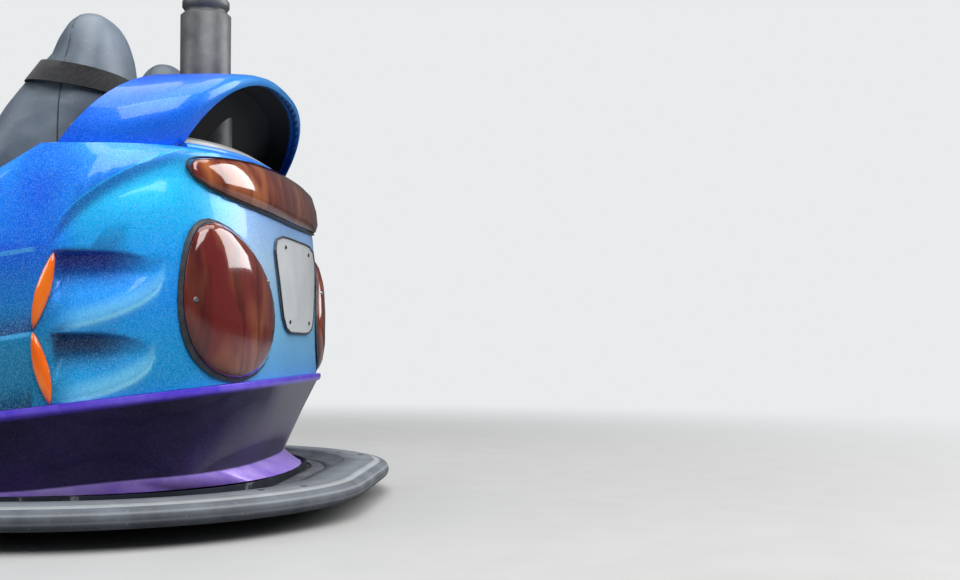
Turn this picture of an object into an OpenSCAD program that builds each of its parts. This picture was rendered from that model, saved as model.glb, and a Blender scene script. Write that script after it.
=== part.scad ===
// Fairground bumper car with a rear hood, a collector mast and a rubber ring.
// Millimetres. +Z is up, +Y is forward and +X is the driver's right.
// The origin is on the floor under the middle of the ring.

/* [Rubber ring] */
// Length over the ring
ring_length = 1950; // [1850:10:2050]
// Width over the ring
ring_width = 1240; // [1200:10:1280]
// Radius of the ring's corners
ring_corner_r = 480; // [440:10:520]
// Depth of the ring from its band to its nose
ring_depth = 150; // [140:1:154]
// Thickness of the ring at its nose
ring_thick = 34; // [30:1:38]
// Top of the ring above the floor
ring_top_z = 64; // [63:1:70]
// Width of the ring's raised shoulder
shoulder_w = 62; // [54:1:66]
// Depth of the trough inside the shoulder
trough_d = 14; // [10:1:16]
// Step from the shoulder down to the worn nose
wear_step = 3; // [2:0.5:4]
// Width of the groove in the trough
groove_w = 5; // [3:1:8]
// Depth of the groove in the trough
groove_d = 3; // [2:0.5:4]

/* [Chassis] */
// Underside of the steel pan above the floor
pan_bottom_z = 30; // [28:1:31]
// Height of the pan
pan_height = 32; // [30:1:33]
// Thickness of the pan's plate
pan_t = 4; // [3:0.5:6]
// Thickness of the steel band that holds the ring
band_t = 10; // [8:1:14]
// Distance of the drive unit's pivot behind the ring's front
drive_back = 400; // [385:5:400]
// Radius of the opening for the drive unit
drive_hole_r = 150; // [146:1:154]

/* [Body] */
// How far the waist stands in from the ring's sides and rear
body_inset = 145; // [135:1:155]
// How far the waist stands in from the ring's front
nose_inset = 125; // [115:1:135]
// Thickness of the moulded shells
shell_t = 6; // [4:0.5:7]
// Height of the waist at the rear
waist_rear_z = 232; // [226:1:238]
// Height of the waist at the sides and the nose
waist_front_z = 182; // [176:1:188]
// Height of the shell's rim under the hood
rim_rear_z = 598; // [590:1:606]
// Height of the cockpit's rim beside the seat
rim_side_z = 400; // [390:1:420]
// Height of the rim at the dash
rim_dash_z = 530; // [520:1:550]
// Gap between neighbouring shells
panel_gap = 2; // [1:0.5:3]

/* [Skirt] */
// How far the skirt leans in from the waist to its crease
skirt_lean = 54; // [48:1:60]
// Height of the skirt from the waist to its crease
skirt_drop = 150; // [142:1:156]
// How far the lip stands proud of the body
lip_out = 9; // [6:1:12]
// Height of the lip
lip_h = 12; // [9:1:15]

/* [Hood] */
// Height of the hood above the rear rim
hood_rise = 160; // [152:1:168]
// How far the hood leans back over its height
hood_lean = 102; // [94:1:108]
// How far the hood's front edge leans back over its height
hood_front_lean = 121; // [114:1:130]
// Radius of the rolled lip round the hood's opening
hood_roll_r = 16; // [12:1:22]
// Thickness of the hood
hood_t = 7; // [5:0.5:9]

/* [Mast] */
// Distance of the mast ahead of the ring's rear
mast_in = 320; // [310:1:330]
// Diameter of the mast's tube
mast_d = 42; // [38:1:46]
// Top of the collector head above the floor
mast_top_z = 2620; // [2500:10:2800]
// Diameter of the rubber sleeve
sleeve_d = 92; // [86:1:96]
// Bottom of the rubber sleeve above the floor
sleeve_bottom_z = 725; // [722:1:735]
// Length of the rubber sleeve
sleeve_length = 520; // [480:10:560]
// Number of ribs on the sleeve
sleeve_ribs = 11; // [8:1:12]

/* [Seats] */
// Distance of each seat's middle from the car's middle
seat_x = 205; // [198:1:212]
// Width of a seat back
seat_w = 320; // [300:1:330]
// Height of the bench cushion's top
bench_top_z = 320; // [310:1:330]
// Thickness of the bench cushion
bench_t = 90; // [80:1:100]
// Width of the strap round a seat back
strap_w = 34; // [28:1:40]

/* [Wheels and steering] */
// Diameter of the drive wheel
drive_d = 240; // [230:2:250]
// Width of the drive wheel's tyre
drive_w = 80; // [70:1:90]
// Diameter of the rear wheels
rear_d = 150; // [140:2:156]
// Width of the rear wheels
rear_w = 46; // [40:1:50]
// Distance of the rear wheels ahead of the ring's rear
rear_in = 515; // [511:2:525]
// Distance of the rear wheels in from the ring's side
rear_side_in = 290; // [280:5:310]
// Diameter of an axle
axle_d = 20; // [16:1:24]
// Running gap between a wheel and its axle
run_gap = 0.08; // [0.05:0.01:0.1]
// Diameter of the steering wheel
wheel_d = 330; // [300:5:360]
// Thickness of the steering wheel's rim
wheel_rim_d = 26; // [22:1:30]
// Rake of the steering column from upright
column_rake = 38; // [32:1:42]

/* [Hidden] */
$fn = 64;

seat_gap = 0.4;
body_half_w = ring_width / 2 - body_inset;
body_rear = ring_length / 2 - body_inset;
body_nose = ring_length / 2 - nose_inset;
drive_y = ring_length / 2 - drive_back;
mast_y = ring_length / 2 - mast_in;
rear_y = ring_length / 2 - rear_in;
rear_x = ring_width / 2 - rear_side_in;
function clamp01(t) = min(1, max(0, t));
function ease(t) = (1 - cos(180 * clamp01(t))) / 2;
function bow(n, phi) = pow(pow(abs(sin(phi)), n) + pow(abs(cos(phi)), n), -1 / n);

// A plan outline is [half width, rear, rear length, rear power, nose, nose length, nose power].
// A station runs from 0 at the rear middle through 1 and 2 along the side to 3 at the nose middle.
// Stations on the left are negative.
waist_plan = [body_half_w, -body_rear, 420, 3.6, body_nose, 500, 2.4];
rim_plan = [body_half_w - 52, -body_rear + 46, 300, 3.2, 385, 250, 2.6];
liner_gap = 1.5;
liner_t = 3;
liner_rear = body_rear - 255;
function plan_pt(p, a, out = 0) =
    let (s = sign(a), u = abs(a), w = p[0] + out, rear_y = p[1] + p[2], nose_y = p[4] - p[5])
    u <= 1 ? let (phi = 90 * u, r = bow(p[3], phi))
        [s * w * r * sin(phi), rear_y - (p[2] + out) * r * cos(phi)]
    : u <= 2 ? [s * w, rear_y * (2 - u) + nose_y * (u - 1)]
    : let (phi = 90 * (3 - u), r = bow(p[6], phi))
        [s * w * r * sin(phi), nose_y + (p[5] + out) * r * cos(phi)];

function liner_pt(a, inset) = let (p = plan_pt(rim_plan, a, -inset)) [p[0], max(p[1], inset - liner_rear)];

// Heights of the waist and of the cockpit's rim at a station. The rim drops away at the hood's front foot.
hood_front = 0.88;
waist_bend_y = body_rear - 420;
function waist_z(a) =
    waist_front_z + (waist_rear_z - waist_front_z)
    * clamp01((-waist_bend_y - plan_pt(waist_plan, a)[1]) / (body_rear - waist_bend_y));
function rim_z(a) =
    rim_side_z + (rim_rear_z - rim_side_z) * pow(1 - clamp01((abs(a) - hood_front) / 0.87), 1.5)
    + (rim_dash_z - rim_side_z) * ease((abs(a) - 1.6) / 0.85);
function section_power(a) = lookup(abs(a), [[0, 2.6], [1, 3.4], [1.8, 3.2], [2.4, 2.3], [3, 2.1]]);

// Scoops are leaf-shaped hollows behind the side lamps, deepest under their top edge. Ahead of the lamps the
// skin has two lobes that tuck in above their foot. Each is [top, foot, tip height, tip y, depth].
scoop_front_y = -557;
scoops = [[430, 312, 388, -708, 24], [306, 200, 268, -697, 22]];
lobe_rear_y = -522;
lobe_front_y = -250;
lobe_fall = 0.16;
lobes = [[430, 308, 11], [304, 190, 9]];
function scoop_share(s, y) = clamp01((scoop_front_y - y) / (scoop_front_y - s[3]));
function scoop_top(s, y) = s[2] + (s[0] - s[2]) * sqrt(1 - pow(scoop_share(s, y), 6));
function scoop_foot(s, y) = s[2] - (s[2] - s[1]) * sqrt(1 - pow(scoop_share(s, y), 1.4));
function lobe_drop(y) = lobe_fall * max(0, min(y, lobe_front_y) - lobe_rear_y);
// How deep a hollow is at a share of its height: a low crest at its foot and a cove under its top edge
cove = 0.68;
function hollow(v) =
    v <= -0.15 || v >= 1 ? 0
    : v < 0 ? -0.12 * (1 + v / 0.15)
    : v < cove ? -0.12 + 1.12 * pow(v / cove, 1.6)
    : sqrt(1 - pow((v - cove) / (1 - cove), 2));
function sum(values) = [for (v = values) 1] * values;
function scoop_dent(y, z) = y > scoop_front_y ? 0 : sum([for (s = scoops)
    let (
        t = scoop_share(s, y),
        top = scoop_top(s, y),
        foot = scoop_foot(s, y),
        h = hollow((z - foot) / (top - foot))
    ) t >= 1 ? 0 : s[4] * (1 - t * t) * max(h, h * clamp01(t / 0.2))]);
function lobe_dent(y, z) = y < lobe_rear_y || y > lobe_front_y ? 0 : sum([for (s = lobes)
    let (t = (y - lobe_rear_y) / (lobe_front_y - lobe_rear_y))
    s[2] * (1 - ease(t)) * hollow(1 - (z + lobe_drop(y) - s[1]) / (s[0] - s[1]))]);

// Crease that sweeps from the lamps up the quarter and on under the hood: [station, height, valley, depth]
crease = [
    [0, 594, 2, 0], [0.44, 594, 3, 0], [0.52, 585, 14, 5], [0.62, 560, 40, 7],
    [0.70, 530, 50, 7], [0.76, 485, 45, 7], [0.80, 441, 8, 0]
];
function crease_col(a, k) = lookup(abs(a), [for (c = crease) [c[0], c[k]]]);
function crease_dent(a, z) =
    crease_col(a, 3) * max(0, hollow((z - crease_col(a, 1)) / crease_col(a, 2) + 1));

// The angle up a section at a height, from 0 at the waist to 90 at the rim
function psi_at(a, z) =
    let (z0 = waist_z(a) + seat_gap, g = clamp01((z - z0) / (rim_z(a) - z0)), m = section_power(a))
    g <= 0 ? 0 : g >= 1 ? 90 : atan2(1, pow(pow(g, -m) - 1, 1 / m));

// A section's rows of points, as angles, lie along the edges of the scoops, the lobes and the crease
function between(low, high, shares) = [for (v = shares) low + (high - low) * v];
function section_psis(a) =
    let (
        y = plan_pt(waist_plan, a)[1],
        drop = lobe_drop(y),
        near_y = [for (s = scoops) max(y, scoop_front_y + 0.8 * (s[3] - scoop_front_y))],
        foot = max(waist_z(a) + 4, scoop_foot(scoops[1], near_y[1])),
        ridge = scoops[1][0] - drop,
        shelf = scoop_foot(scoops[0], near_y[0]) - drop,
        top = scoops[0][0] - drop,
        line = crease_col(a, 1) - drop,
        line_psi = psi_at(a, line)
    ) concat(
        [0],
        [for (z = concat(
            between(foot, ridge, [0, 0.36, cove, 0.9, 1]),
            between(shelf, top, [0, 0.36, cove, 0.9, 1]),
            between(top, line - 0.1 * crease_col(a, 2), [0.4, 0.75, 1])
        )) psi_at(a, z)],
        between(line_psi, 90, [0, 0.3, 0.65, 1])
    );

// A point on the body's skin at a station and an angle up its section
function skin_pt(a, psi, out = 0) =
    let (
        r = bow(section_power(a), psi),
        f = 1 - r * cos(psi),
        z0 = waist_z(a) + seat_gap,
        z = z0 + (rim_z(a) - z0) * r * sin(psi),
        y = plan_pt(waist_plan, a)[1],
        o = out - (abs(a) < 1.9 ? scoop_dent(y, z) + lobe_dent(y, z) + crease_dent(a, z) : 0),
        p = plan_pt(waist_plan, a, o * cos(psi)) * (1 - f) + plan_pt(rim_plan, a, o * cos(psi)) * f
    ) [p[0], p[1], z + o * sin(psi)];

// A point on the body's skin at a station and a height
function skin_at(a, z, out = 0) =
    let (
        m = section_power(a),
        z0 = waist_z(a) + seat_gap,
        g = clamp01((z - z0) / (rim_z(a) - z0)),
        f = 1 - pow(1 - pow(g, m), 1 / m),
        p = plan_pt(waist_plan, a, out) * (1 - f) + plan_pt(rim_plan, a, out) * f
    ) [p[0], p[1], z + out * f];

function steps(from, to, n) = [for (i = [0:n]) from + (to - from) * i / n];
function flat(rows) = [for (row = rows) each row];
function side_faces(rows, cols, loop) = [
    for (r = [0:rows - (loop ? 1 : 2)], c = [0:cols - 1])
        let (p = r * cols, q = ((r + 1) % rows) * cols, d = (c + 1) % cols)
        each [[p + c, q + d, p + d], [p + c, q + c, q + d]]
];

// A closed hoop through rings of points
module hoop_skin(rings) {
    cols = len(rings[0]);
    polyhedron(flat(rings), side_faces(len(rings), cols, true));
}

// A plate through section rings, each an outer run of points and then the same run back inside
module plate_skin(rings) {
    rows = len(rings);
    cols = len(rings[0]);
    last = (rows - 1) * cols;
    polyhedron(flat(rings), concat(
        side_faces(rows, cols, false),
        [for (c = [0:cols / 2 - 2]) each [[c, c + 1, cols - 2 - c], [c, cols - 2 - c, cols - 1 - c]]],
        [for (c = [0:cols / 2 - 2]) each [
            [last + c, last + cols - 2 - c, last + c + 1],
            [last + c, last + cols - 1 - c, last + cols - 2 - c]]]
    ));
}

// A closed form through rings of points, with a point at either end
module capped_skin(first, rings, last) {
    rows = len(rings);
    cols = len(rings[0]);
    n = rows * cols;
    polyhedron(concat(flat(rings), [first, last]), concat(
        side_faces(rows, cols, false),
        [for (c = [0:cols - 1]) [c, (c + 1) % cols, n]],
        [for (c = [0:cols - 1]) [n - cols + (c + 1) % cols, n - cols + c, n + 1]]
    ));
}

// Joints between the shells, as stations
rear_joint = 1.04;
nose_joint = 2.0;
joint_gap = panel_gap / 600;
module body_shell(stations) {
    plate_skin([for (a = stations) let (psis = section_psis(a), n = len(psis)) concat(
        [for (psi = psis) skin_pt(a, psi)],
        [for (i = [n - 1:-1:0]) skin_pt(a, psis[i], -shell_t)]
    )]);
}
half_stations = concat(
    steps(0, 0.4, 5), [0.45, 0.5, 0.55, 0.6, 0.64, 0.68, 0.715, 0.75, 0.775, 0.8, 0.825, 0.85],
    [hood_front, 0.94, 1, rear_joint - joint_gap]
);
left_half = [for (i = [len(half_stations) - 1:-1:1]) -half_stations[i]];
module rear_shell() color("dodgerblue") body_shell(concat(left_half, half_stations));
module side_shell_left() color("royalblue")
    body_shell(concat(steps(-nose_joint + joint_gap, -1.25, 6), steps(-1.18, -rear_joint, 2)));
module side_shell_right() mirror([1, 0, 0]) side_shell_left();
module nose_shell() color("royalblue") plate_skin([
    for (u = steps(nose_joint, 6 - nose_joint, 26)) let (a = u <= 3 ? u : u - 6) concat(
        [for (psi = steps(0, 90, 9)) skin_pt(a, psi)],
        [for (psi = steps(90, 0, 9)) skin_pt(a, psi, -shell_t)]
    )
]);

// Rounded outlines shared by the ring, the band and the pan
module rounded(len, wid, r) {
    for (x = [-1, 1], y = [-1, 1]) translate([x * (wid / 2 - r), y * (len / 2 - r)]) circle(r);
    square([wid - 2 * r, len], center = true);
    square([wid, len - 2 * r], center = true);
}
// Runs a profile round a rounded outline. The profile's x is 0 on the outline and negative inside it.
module run_round(len, wid, r) {
    for (q = [[1, 1, 0], [-1, 1, 90], [-1, -1, 180], [1, -1, 270]])
        translate([q[0] * (wid / 2 - r), q[1] * (len / 2 - r), 0]) rotate([0, 0, q[2]])
            rotate_extrude(angle = 90) translate([r, 0]) children();
    for (q = [[1, 0, len - 2 * r], [-1, 180, len - 2 * r]])
        translate([q[0] * wid / 2, q[0] * -q[2] / 2, 0]) rotate([90, 0, q[1] + 180]) mirror([1, 0, 0])
            linear_extrude(q[2]) children();
    for (q = [[1, 90, wid - 2 * r], [-1, 270, wid - 2 * r]])
        translate([q[0] * q[2] / 2, q[0] * len / 2, 0]) rotate([90, 0, q[1] + 180]) mirror([1, 0, 0])
            linear_extrude(q[2]) children();
}

fit_gap = 0.3;
ring_bottom_z = ring_top_z - ring_thick;
band_outer_w = ring_width - 2 * ring_depth - 2 * fit_gap;
band_outer_l = ring_length - 2 * ring_depth - 2 * fit_gap;
band_r = ring_corner_r - ring_depth - fit_gap;
pan_w = band_outer_w - 2 * band_t - 2 * fit_gap;
pan_l = band_outer_l - 2 * band_t - 2 * fit_gap;
pan_r = band_r - band_t - fit_gap;
pan_top_z = pan_bottom_z + pan_height;
pan_floor_z = pan_bottom_z + pan_t;

module bumper_ring() color("dimgray") {
    nose_r = (ring_thick - wear_step) / 2;
    crest_x = -26 - shoulder_w;
    trough_r = trough_d + 10;
    trough_z = ring_top_z - trough_d;
    run_round(ring_length, ring_width, ring_corner_r) difference() {
        union() {
            polygon([
                [-ring_depth, ring_bottom_z], [-nose_r, ring_bottom_z], [-nose_r, ring_top_z - wear_step],
                [-26, ring_top_z - wear_step], [-29, ring_top_z], [-ring_depth, ring_top_z]]);
            translate([-nose_r, ring_bottom_z + nose_r]) circle(nose_r);
        }
        translate([crest_x - 20, ring_top_z + 10]) circle(trough_r);
        translate([-ring_depth - 1, trough_z]) square([ring_depth + 1 + crest_x - 20, trough_d + 1]);
        translate([-ring_depth * 0.85, trough_z - groove_d]) square([groove_w, groove_d + 1]);
    }
}

module ring_band() color("gray")
    run_round(band_outer_l, band_outer_w, band_r)
        translate([-band_t, ring_bottom_z]) square([band_t, ring_thick - trough_d - 2]);

wheel_hole = [rear_w + 30, rear_d + 20];
module chassis_pan() color("steelblue") difference() {
    translate([0, 0, pan_bottom_z]) linear_extrude(pan_height) rounded(pan_l, pan_w, pan_r);
    translate([0, 0, pan_floor_z]) linear_extrude(pan_height)
        rounded(pan_l - 2 * pan_t, pan_w - 2 * pan_t, pan_r - pan_t);
    translate([0, drive_y, pan_bottom_z - 1]) cylinder(pan_t + 2, r = drive_hole_r);
    for (x = [-1, 1]) translate([x * rear_x, -rear_y, pan_floor_z])
        cube([wheel_hole[0], wheel_hole[1], 3 * pan_t], center = true);
}

// Skirt: it hangs from the waist, leans in to a crease and flares out again to the pan's edge
foot_plan = [pan_w / 2 + 1.5, -pan_l / 2 - 8, pan_l / 2 + 8 - waist_bend_y, 2.3, pan_l / 2 + 6, 470, 2.6];
skirt_crease_plan = [
    foot_plan[0], skirt_lean - body_rear, body_rear - skirt_lean - waist_bend_y, 2.8,
    foot_plan[4], foot_plan[5], foot_plan[6]
];
foot_z = pan_top_z + fit_gap;
skirt_t = 8;
function skirt_section(a) =
    let (
        z = waist_z(a),
        crease_z = foot_z + 4 + (waist_rear_z - skirt_drop - foot_z - 4) * ease((1 - abs(a)) / 0.5)
    ) concat(
        [for (s = [[lip_out - 1, z], [lip_out, z - lip_h / 2], [lip_out - 2, z - lip_h], [1, z - lip_h - 3]])
            let (p = plan_pt(waist_plan, a, s[0])) [p[0], p[1], s[1]]],
        [for (s = [
            [skirt_crease_plan, 0, crease_z], [foot_plan, 0, foot_z],
            [foot_plan, -skirt_t - 2, foot_z], [skirt_crease_plan, -skirt_t, crease_z - 1]
        ]) let (p = plan_pt(s[0], a, s[1])) [p[0], p[1], s[2]]],
        [for (s = [[-5, z - lip_h - 6], [-16, z - 4], [-16, z]])
            let (p = plan_pt(waist_plan, a, s[0])) [p[0], p[1], s[1]]]
    );
skirt_stations = [for (i = [0:71]) let (u = 6 * i / 72) u <= 3 ? u : u - 6];
module skirt() color("indigo")
    hoop_skin([for (a = skirt_stations) skirt_section(a)]);

// Hood: arches that lean back, with their feet on the rear rim and a lip rolled in round the opening.
// Its front edge is notched for the mast's sleeve.
hood_roll = 0.60;
hood_rear = 0.54;
function hood_pt(a, phi, inset) =
    let (
        foot = plan_pt(rim_plan, a),
        lean = hood_lean + (hood_front_lean - hood_lean) * (a - hood_rear) / (hood_front - hood_rear),
        h = hood_rise * (0.985 + 0.015 * ease((hood_front - a) / 0.2)),
        r = bow(2.4, phi),
        up = (h - inset) * r * sin(phi)
    ) [-(foot[0] - inset) * r * cos(phi), foot[1] - lean * up / hood_rise, rim_z(a) + seat_gap + up];
function hood_run(a, inset) = [for (phi = steps(0, 180, 30)) hood_pt(a, phi, inset)];
function back(run) = [for (i = [len(run) - 1:-1:0]) run[i]];
module hood() color("mediumblue") difference() {
    inner_r = hood_roll_r - hood_t;
    plate_skin(concat(
        [for (a = steps(hood_front, hood_roll, 7)) concat(hood_run(a, 0), back(hood_run(a, hood_t)))],
        [for (t = [30, 60, 90]) concat(
            hood_run(hood_roll - (hood_roll - hood_rear) * sin(t), hood_roll_r * (1 - cos(t))),
            back(hood_run(
                hood_roll - (hood_roll - hood_rear) * sin(t) * inner_r / hood_roll_r,
                hood_roll_r - inner_r * cos(t))))]
    ));
    translate([0, -mast_y, rim_rear_z]) cylinder(2 * hood_rise, r = sleeve_d / 2 + 4);
}

// Panel that closes the hood towards the seats. It lies in the plane of one of the hood's arches.
bulkhead_at = 0.71;
bulkhead_t = 3;
module hood_bulkhead() color("black") difference() {
    feet = hood_pt(bulkhead_at, 0, hood_t + 1);
    top = hood_pt(bulkhead_at, 90, hood_t + 1);
    tilt = atan2(feet[1] - top[1], top[2] - feet[2]);
    translate([0, feet[1], feet[2]]) rotate([90 + tilt, 0, 0]) linear_extrude(bulkhead_t) intersection() {
        polygon([for (q = hood_run(bulkhead_at, hood_t + 1)) [q[0], (q[2] - feet[2]) / cos(tilt)]]);
        translate([-500, bulkhead_t]) square([1000, 500]);
    }
    translate([0, -mast_y, rim_rear_z]) cylinder(300, r = mast_d / 2 + 7);
}

deck_t = 5;
deck_end = 0.81;
module rear_deck() color("silver") difference() {
    translate([0, 0, rim_rear_z - deck_t - 0.5]) linear_extrude(deck_t)
        polygon([for (a = concat(left_half, half_stations)) if (abs(a) < deck_end)
            plan_pt(rim_plan, a, -0.5)]);
    translate([0, -mast_y, 0]) cylinder(rim_rear_z, r = mast_d / 2 + 14);
}

floor_t = 6;
floor_top_z = pan_floor_z + fit_gap + floor_t;
floor_rear_y = -300;
module cockpit_liner() color("lightgray")
    hoop_skin([for (a = skirt_stations)
        let (
            o = liner_pt(a, liner_gap), i = liner_pt(a, liner_gap + liner_t),
            foot = floor_top_z + fit_gap,
            top = rim_z(a) - 1
        ) [[o[0], o[1], top], [o[0], o[1], foot], [i[0], i[1], foot], [i[0], i[1], top]]]);
module cockpit_floor() color("gray")
    translate([0, 0, pan_floor_z + fit_gap]) linear_extrude(floor_t)
        polygon([for (a = concat(steps(1.3, 3, 24), steps(-2.95, -1.3, 24))) liner_pt(a, liner_gap)]);

// Padded roll along the dash
pad_r = 20;
pad_out = -liner_gap - liner_t - 0.8 - pad_r;
pad_sides = 10;
function pad_pt(a, k, r) = let (t = 360 * k / pad_sides, p = plan_pt(rim_plan, a, pad_out + r * cos(t)))
    [p[0], p[1], rim_z(a) - pad_r / 2 + r * sin(t)];
module dash_cowl() color("black") {
    stations = [for (u = steps(2.25, 3.75, 24)) u <= 3 ? u : u - 6];
    capped_skin(
        pad_pt(stations[0], 0, 0),
        [for (a = stations) [for (k = [0:pad_sides - 1]) pad_pt(a, k, pad_r)]],
        pad_pt(-stations[0], 0, 0)
    );
}

// Bench: a moulded box with an open foot, a cushion and two high backs
box_front_y = -170;
box_rear_y = 23 - liner_rear;
box_w = 2 * (rim_plan[0] - 30);
box_top_z = bench_top_z - bench_t;
module seat_box() color("slategray") difference() {
    translate([-box_w / 2, box_rear_y, floor_top_z + fit_gap])
        cube([box_w, box_front_y - box_rear_y, box_top_z - floor_top_z - fit_gap]);
    translate([-box_w / 2 + shell_t, box_rear_y + shell_t, floor_top_z - 1])
        cube([
            box_w - 2 * shell_t, box_front_y - box_rear_y - 2 * shell_t, box_top_z - shell_t - floor_top_z + 1
        ]);
}
cushion_front_y = box_front_y + 30;
module bench_cushion() color("gray") {
    r = bench_t / 2 - fit_gap;
    l = box_w - 10;
    y0 = -308;
    translate([0, 0, box_top_z + fit_gap + r]) {
        for (y = [y0 + r, cushion_front_y - r]) translate([-l / 2, y, 0]) rotate([0, 90, 0])
            cylinder(l, r = r);
        translate([-l / 2, y0 + r, -r]) cube([l, cushion_front_y - y0 - 2 * r, 2 * r]);
    }
}
// Seat backs are lofted through level sections: [height, middle y, half depth, half width]
back_foot_z = box_top_z + fit_gap;
back_sections = [
    [back_foot_z, -425, 115, 160], [350, -425.5, 117.5, 160], [480, -429.5, 115.5, 158],
    [560, -439, 108, 152], [620, -461, 104, 146], [677, -486, 98, 136], [732, -508, 76, 120],
    [777, -523, 58, 103], [810, -525, 48, 86], [832, -524, 37, 66], [847, -522, 20, 38]
];
back_top = [-521, 853];
function back_col(z, k) = lookup(z, [for (q = back_sections) [q[0], q[k]]]);
function back_pt(x, z, grow, t) =
    let (r = bow(2.6, t), w = back_col(z, 3) * seat_w / 320, d = back_col(z, 2))
    [x + (w + grow) * r * cos(t), back_col(z, 1) + (d + grow) * r * sin(t), z];
module seat_back(x) capped_skin(
    [x, back_sections[0][1], back_foot_z],
    [for (q = back_sections) [for (i = [0:19]) back_pt(x, q[0], 0, 18 * i)]],
    [x, back_top[0], back_top[1]]
);
module seat_back_left() color("dimgray") seat_back(-seat_x);
module seat_back_right() color("dimgray") seat_back(seat_x);
strap_z = 709;
strap_t = 3;
strap_tilt = 0.15;
strap_gap = 1.3;
module strap(x) color("black") hoop_skin([for (i = [19:-1:0]) let (
    t = 18 * i,
    lift = strap_tilt * (back_pt(x, strap_z, 0, t)[1] - back_col(strap_z, 1))
) [for (q = [
    [0, strap_gap], [0, strap_t + strap_gap], [strap_w, strap_t + strap_gap], [strap_w, strap_gap]
]) back_pt(x, strap_z + q[0] + lift, q[1], t)]]);
module strap_left() strap(-seat_x);
module strap_right() strap(seat_x);

// Steering: a fixed column on the footwell's front wall, and the wheel with its shaft
wheel_at = [0, 150, 560];
shaft_r = 12;
shaft_l = 150;
column_wall_y = rim_plan[4] - liner_gap - liner_t - 0.7;
module on_column() translate(wheel_at) rotate([column_rake, 0, 0]) children();
module steering_column() color("black") difference() {
    union() {
        on_column() translate([0, 0, -500]) cylinder(440, r = 26);
        translate([-36, column_wall_y - 8, 205]) cube([72, 8, 125]);
    }
    on_column() translate([0, 0, -60 - shaft_l]) cylinder(shaft_l + 1, r = shaft_r + run_gap);
    translate([-100, column_wall_y, 0]) cube([200, 400, 600]);
}
module steering_wheel() color("black") on_column() {
    rotate_extrude() translate([(wheel_d - wheel_rim_d) / 2, 0]) circle(wheel_rim_d / 2);
    translate([0, 0, -34]) cylinder(40, r = 38);
    translate([0, 0, -50 - shaft_l]) cylinder(shaft_l + 30, r = shaft_r);
    for (k = [0:2]) rotate([0, 0, 90 + 120 * k]) translate([30, -14, -6])
        cube([wheel_d / 2 - wheel_rim_d / 2 - 32, 28, 8]);
}

module foot_pedal() color("gray") translate([0, 300, floor_top_z + fit_gap]) {
    translate([-50, -60, 0]) cube([100, 120, 6]);
    translate([-40, -50, 6]) rotate([24, 0, 0]) cube([80, 110, 8]);
    translate([-40, -52, 9]) rotate([0, 90, 0]) cylinder(80, r = 8);
}

// Drive unit: a race on the pan, a turntable with a fork in it, the motor, and the wheel
race_h = 24;
race_r = 160;
table_z = pan_floor_z + fit_gap + race_h + 0.5;
table_t = 8;
table_r = 178;
fork_x = drive_w / 2 + 10;
fork_t = 8;
fork_top_z = drive_d + 18;
module at_drive() translate([0, drive_y, 0]) children();
module drive_race() color("silver") at_drive() translate([0, 0, pan_floor_z + fit_gap]) difference() {
    cylinder(race_h, r = table_r + 6);
    translate([0, 0, -1]) cylinder(race_h + 2, r = race_r + run_gap);
}
module drive_unit() color("dimgray") at_drive() {
    difference() {
        union() {
            translate([0, 0, table_z]) cylinder(table_t, r = table_r);
            translate([0, 0, pan_floor_z + 5]) cylinder(table_z - pan_floor_z - 5 + table_t / 2, r = race_r);
        }
        translate([0, 0, 0]) cylinder(table_z, r = race_r - 8);
        translate([0, 0, table_z]) cube([2 * fork_x, drive_d + 16, 60], center = true);
    }
    for (x = [-fork_x - fork_t, fork_x]) translate([x, -40, table_z + table_t])
        cube([fork_t, 80, fork_top_z - table_z - table_t]);
    translate([-fork_x - fork_t, -40, fork_top_z - fork_t]) cube([2 * (fork_x + fork_t), 80, fork_t]);
    translate([0, 0, fork_top_z]) cylinder(40, r = 22);
    translate([-fork_x - fork_t / 2, 0, drive_d / 2]) rotate([0, 90, 0])
        cylinder(2 * fork_x + fork_t, d = axle_d);
}
motor_r = 50;
module drive_motor() color("darkslategray") at_drive()
    translate([fork_x + fork_t + fit_gap, 0, table_z + table_t + motor_r + fit_gap]) rotate([0, 90, 0]) {
        cylinder(88, r = motor_r);
        translate([-motor_r - 4, -30, 20]) cube([20, 60, 50]);
    }
hub_gap = 0.2;
module wheel_hub(r, w) rotate([0, 90, 0]) difference() {
    cylinder(w, r = r, center = true);
    cylinder(w + 2, r = axle_d / 2 + run_gap, center = true);
    for (z = [-w / 2 - 1, w / 2 - 9]) translate([0, 0, z]) difference() {
        cylinder(10, r = r - 8);
        translate([0, 0, -1]) cylinder(12, r = axle_d / 2 + 12);
    }
}
module wheel_tyre(r, hub_r, w) rotate([0, 90, 0]) rotate_extrude() polygon([
    [hub_r + hub_gap, -w / 2], [r - w / 8, -w / 2], [r - 3, -w / 3], [r, 0],
    [r - 3, w / 3], [r - w / 8, w / 2], [hub_r + hub_gap, w / 2]
]);
drive_hub_r = 78;
rear_hub_r = 46;
module drive_hub() color("silver") at_drive() translate([0, 0, drive_d / 2])
    wheel_hub(drive_hub_r, drive_w - 10);
module drive_tyre() color("black") at_drive() translate([0, 0, drive_d / 2])
    wheel_tyre(drive_d / 2, drive_hub_r, drive_w);

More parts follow.
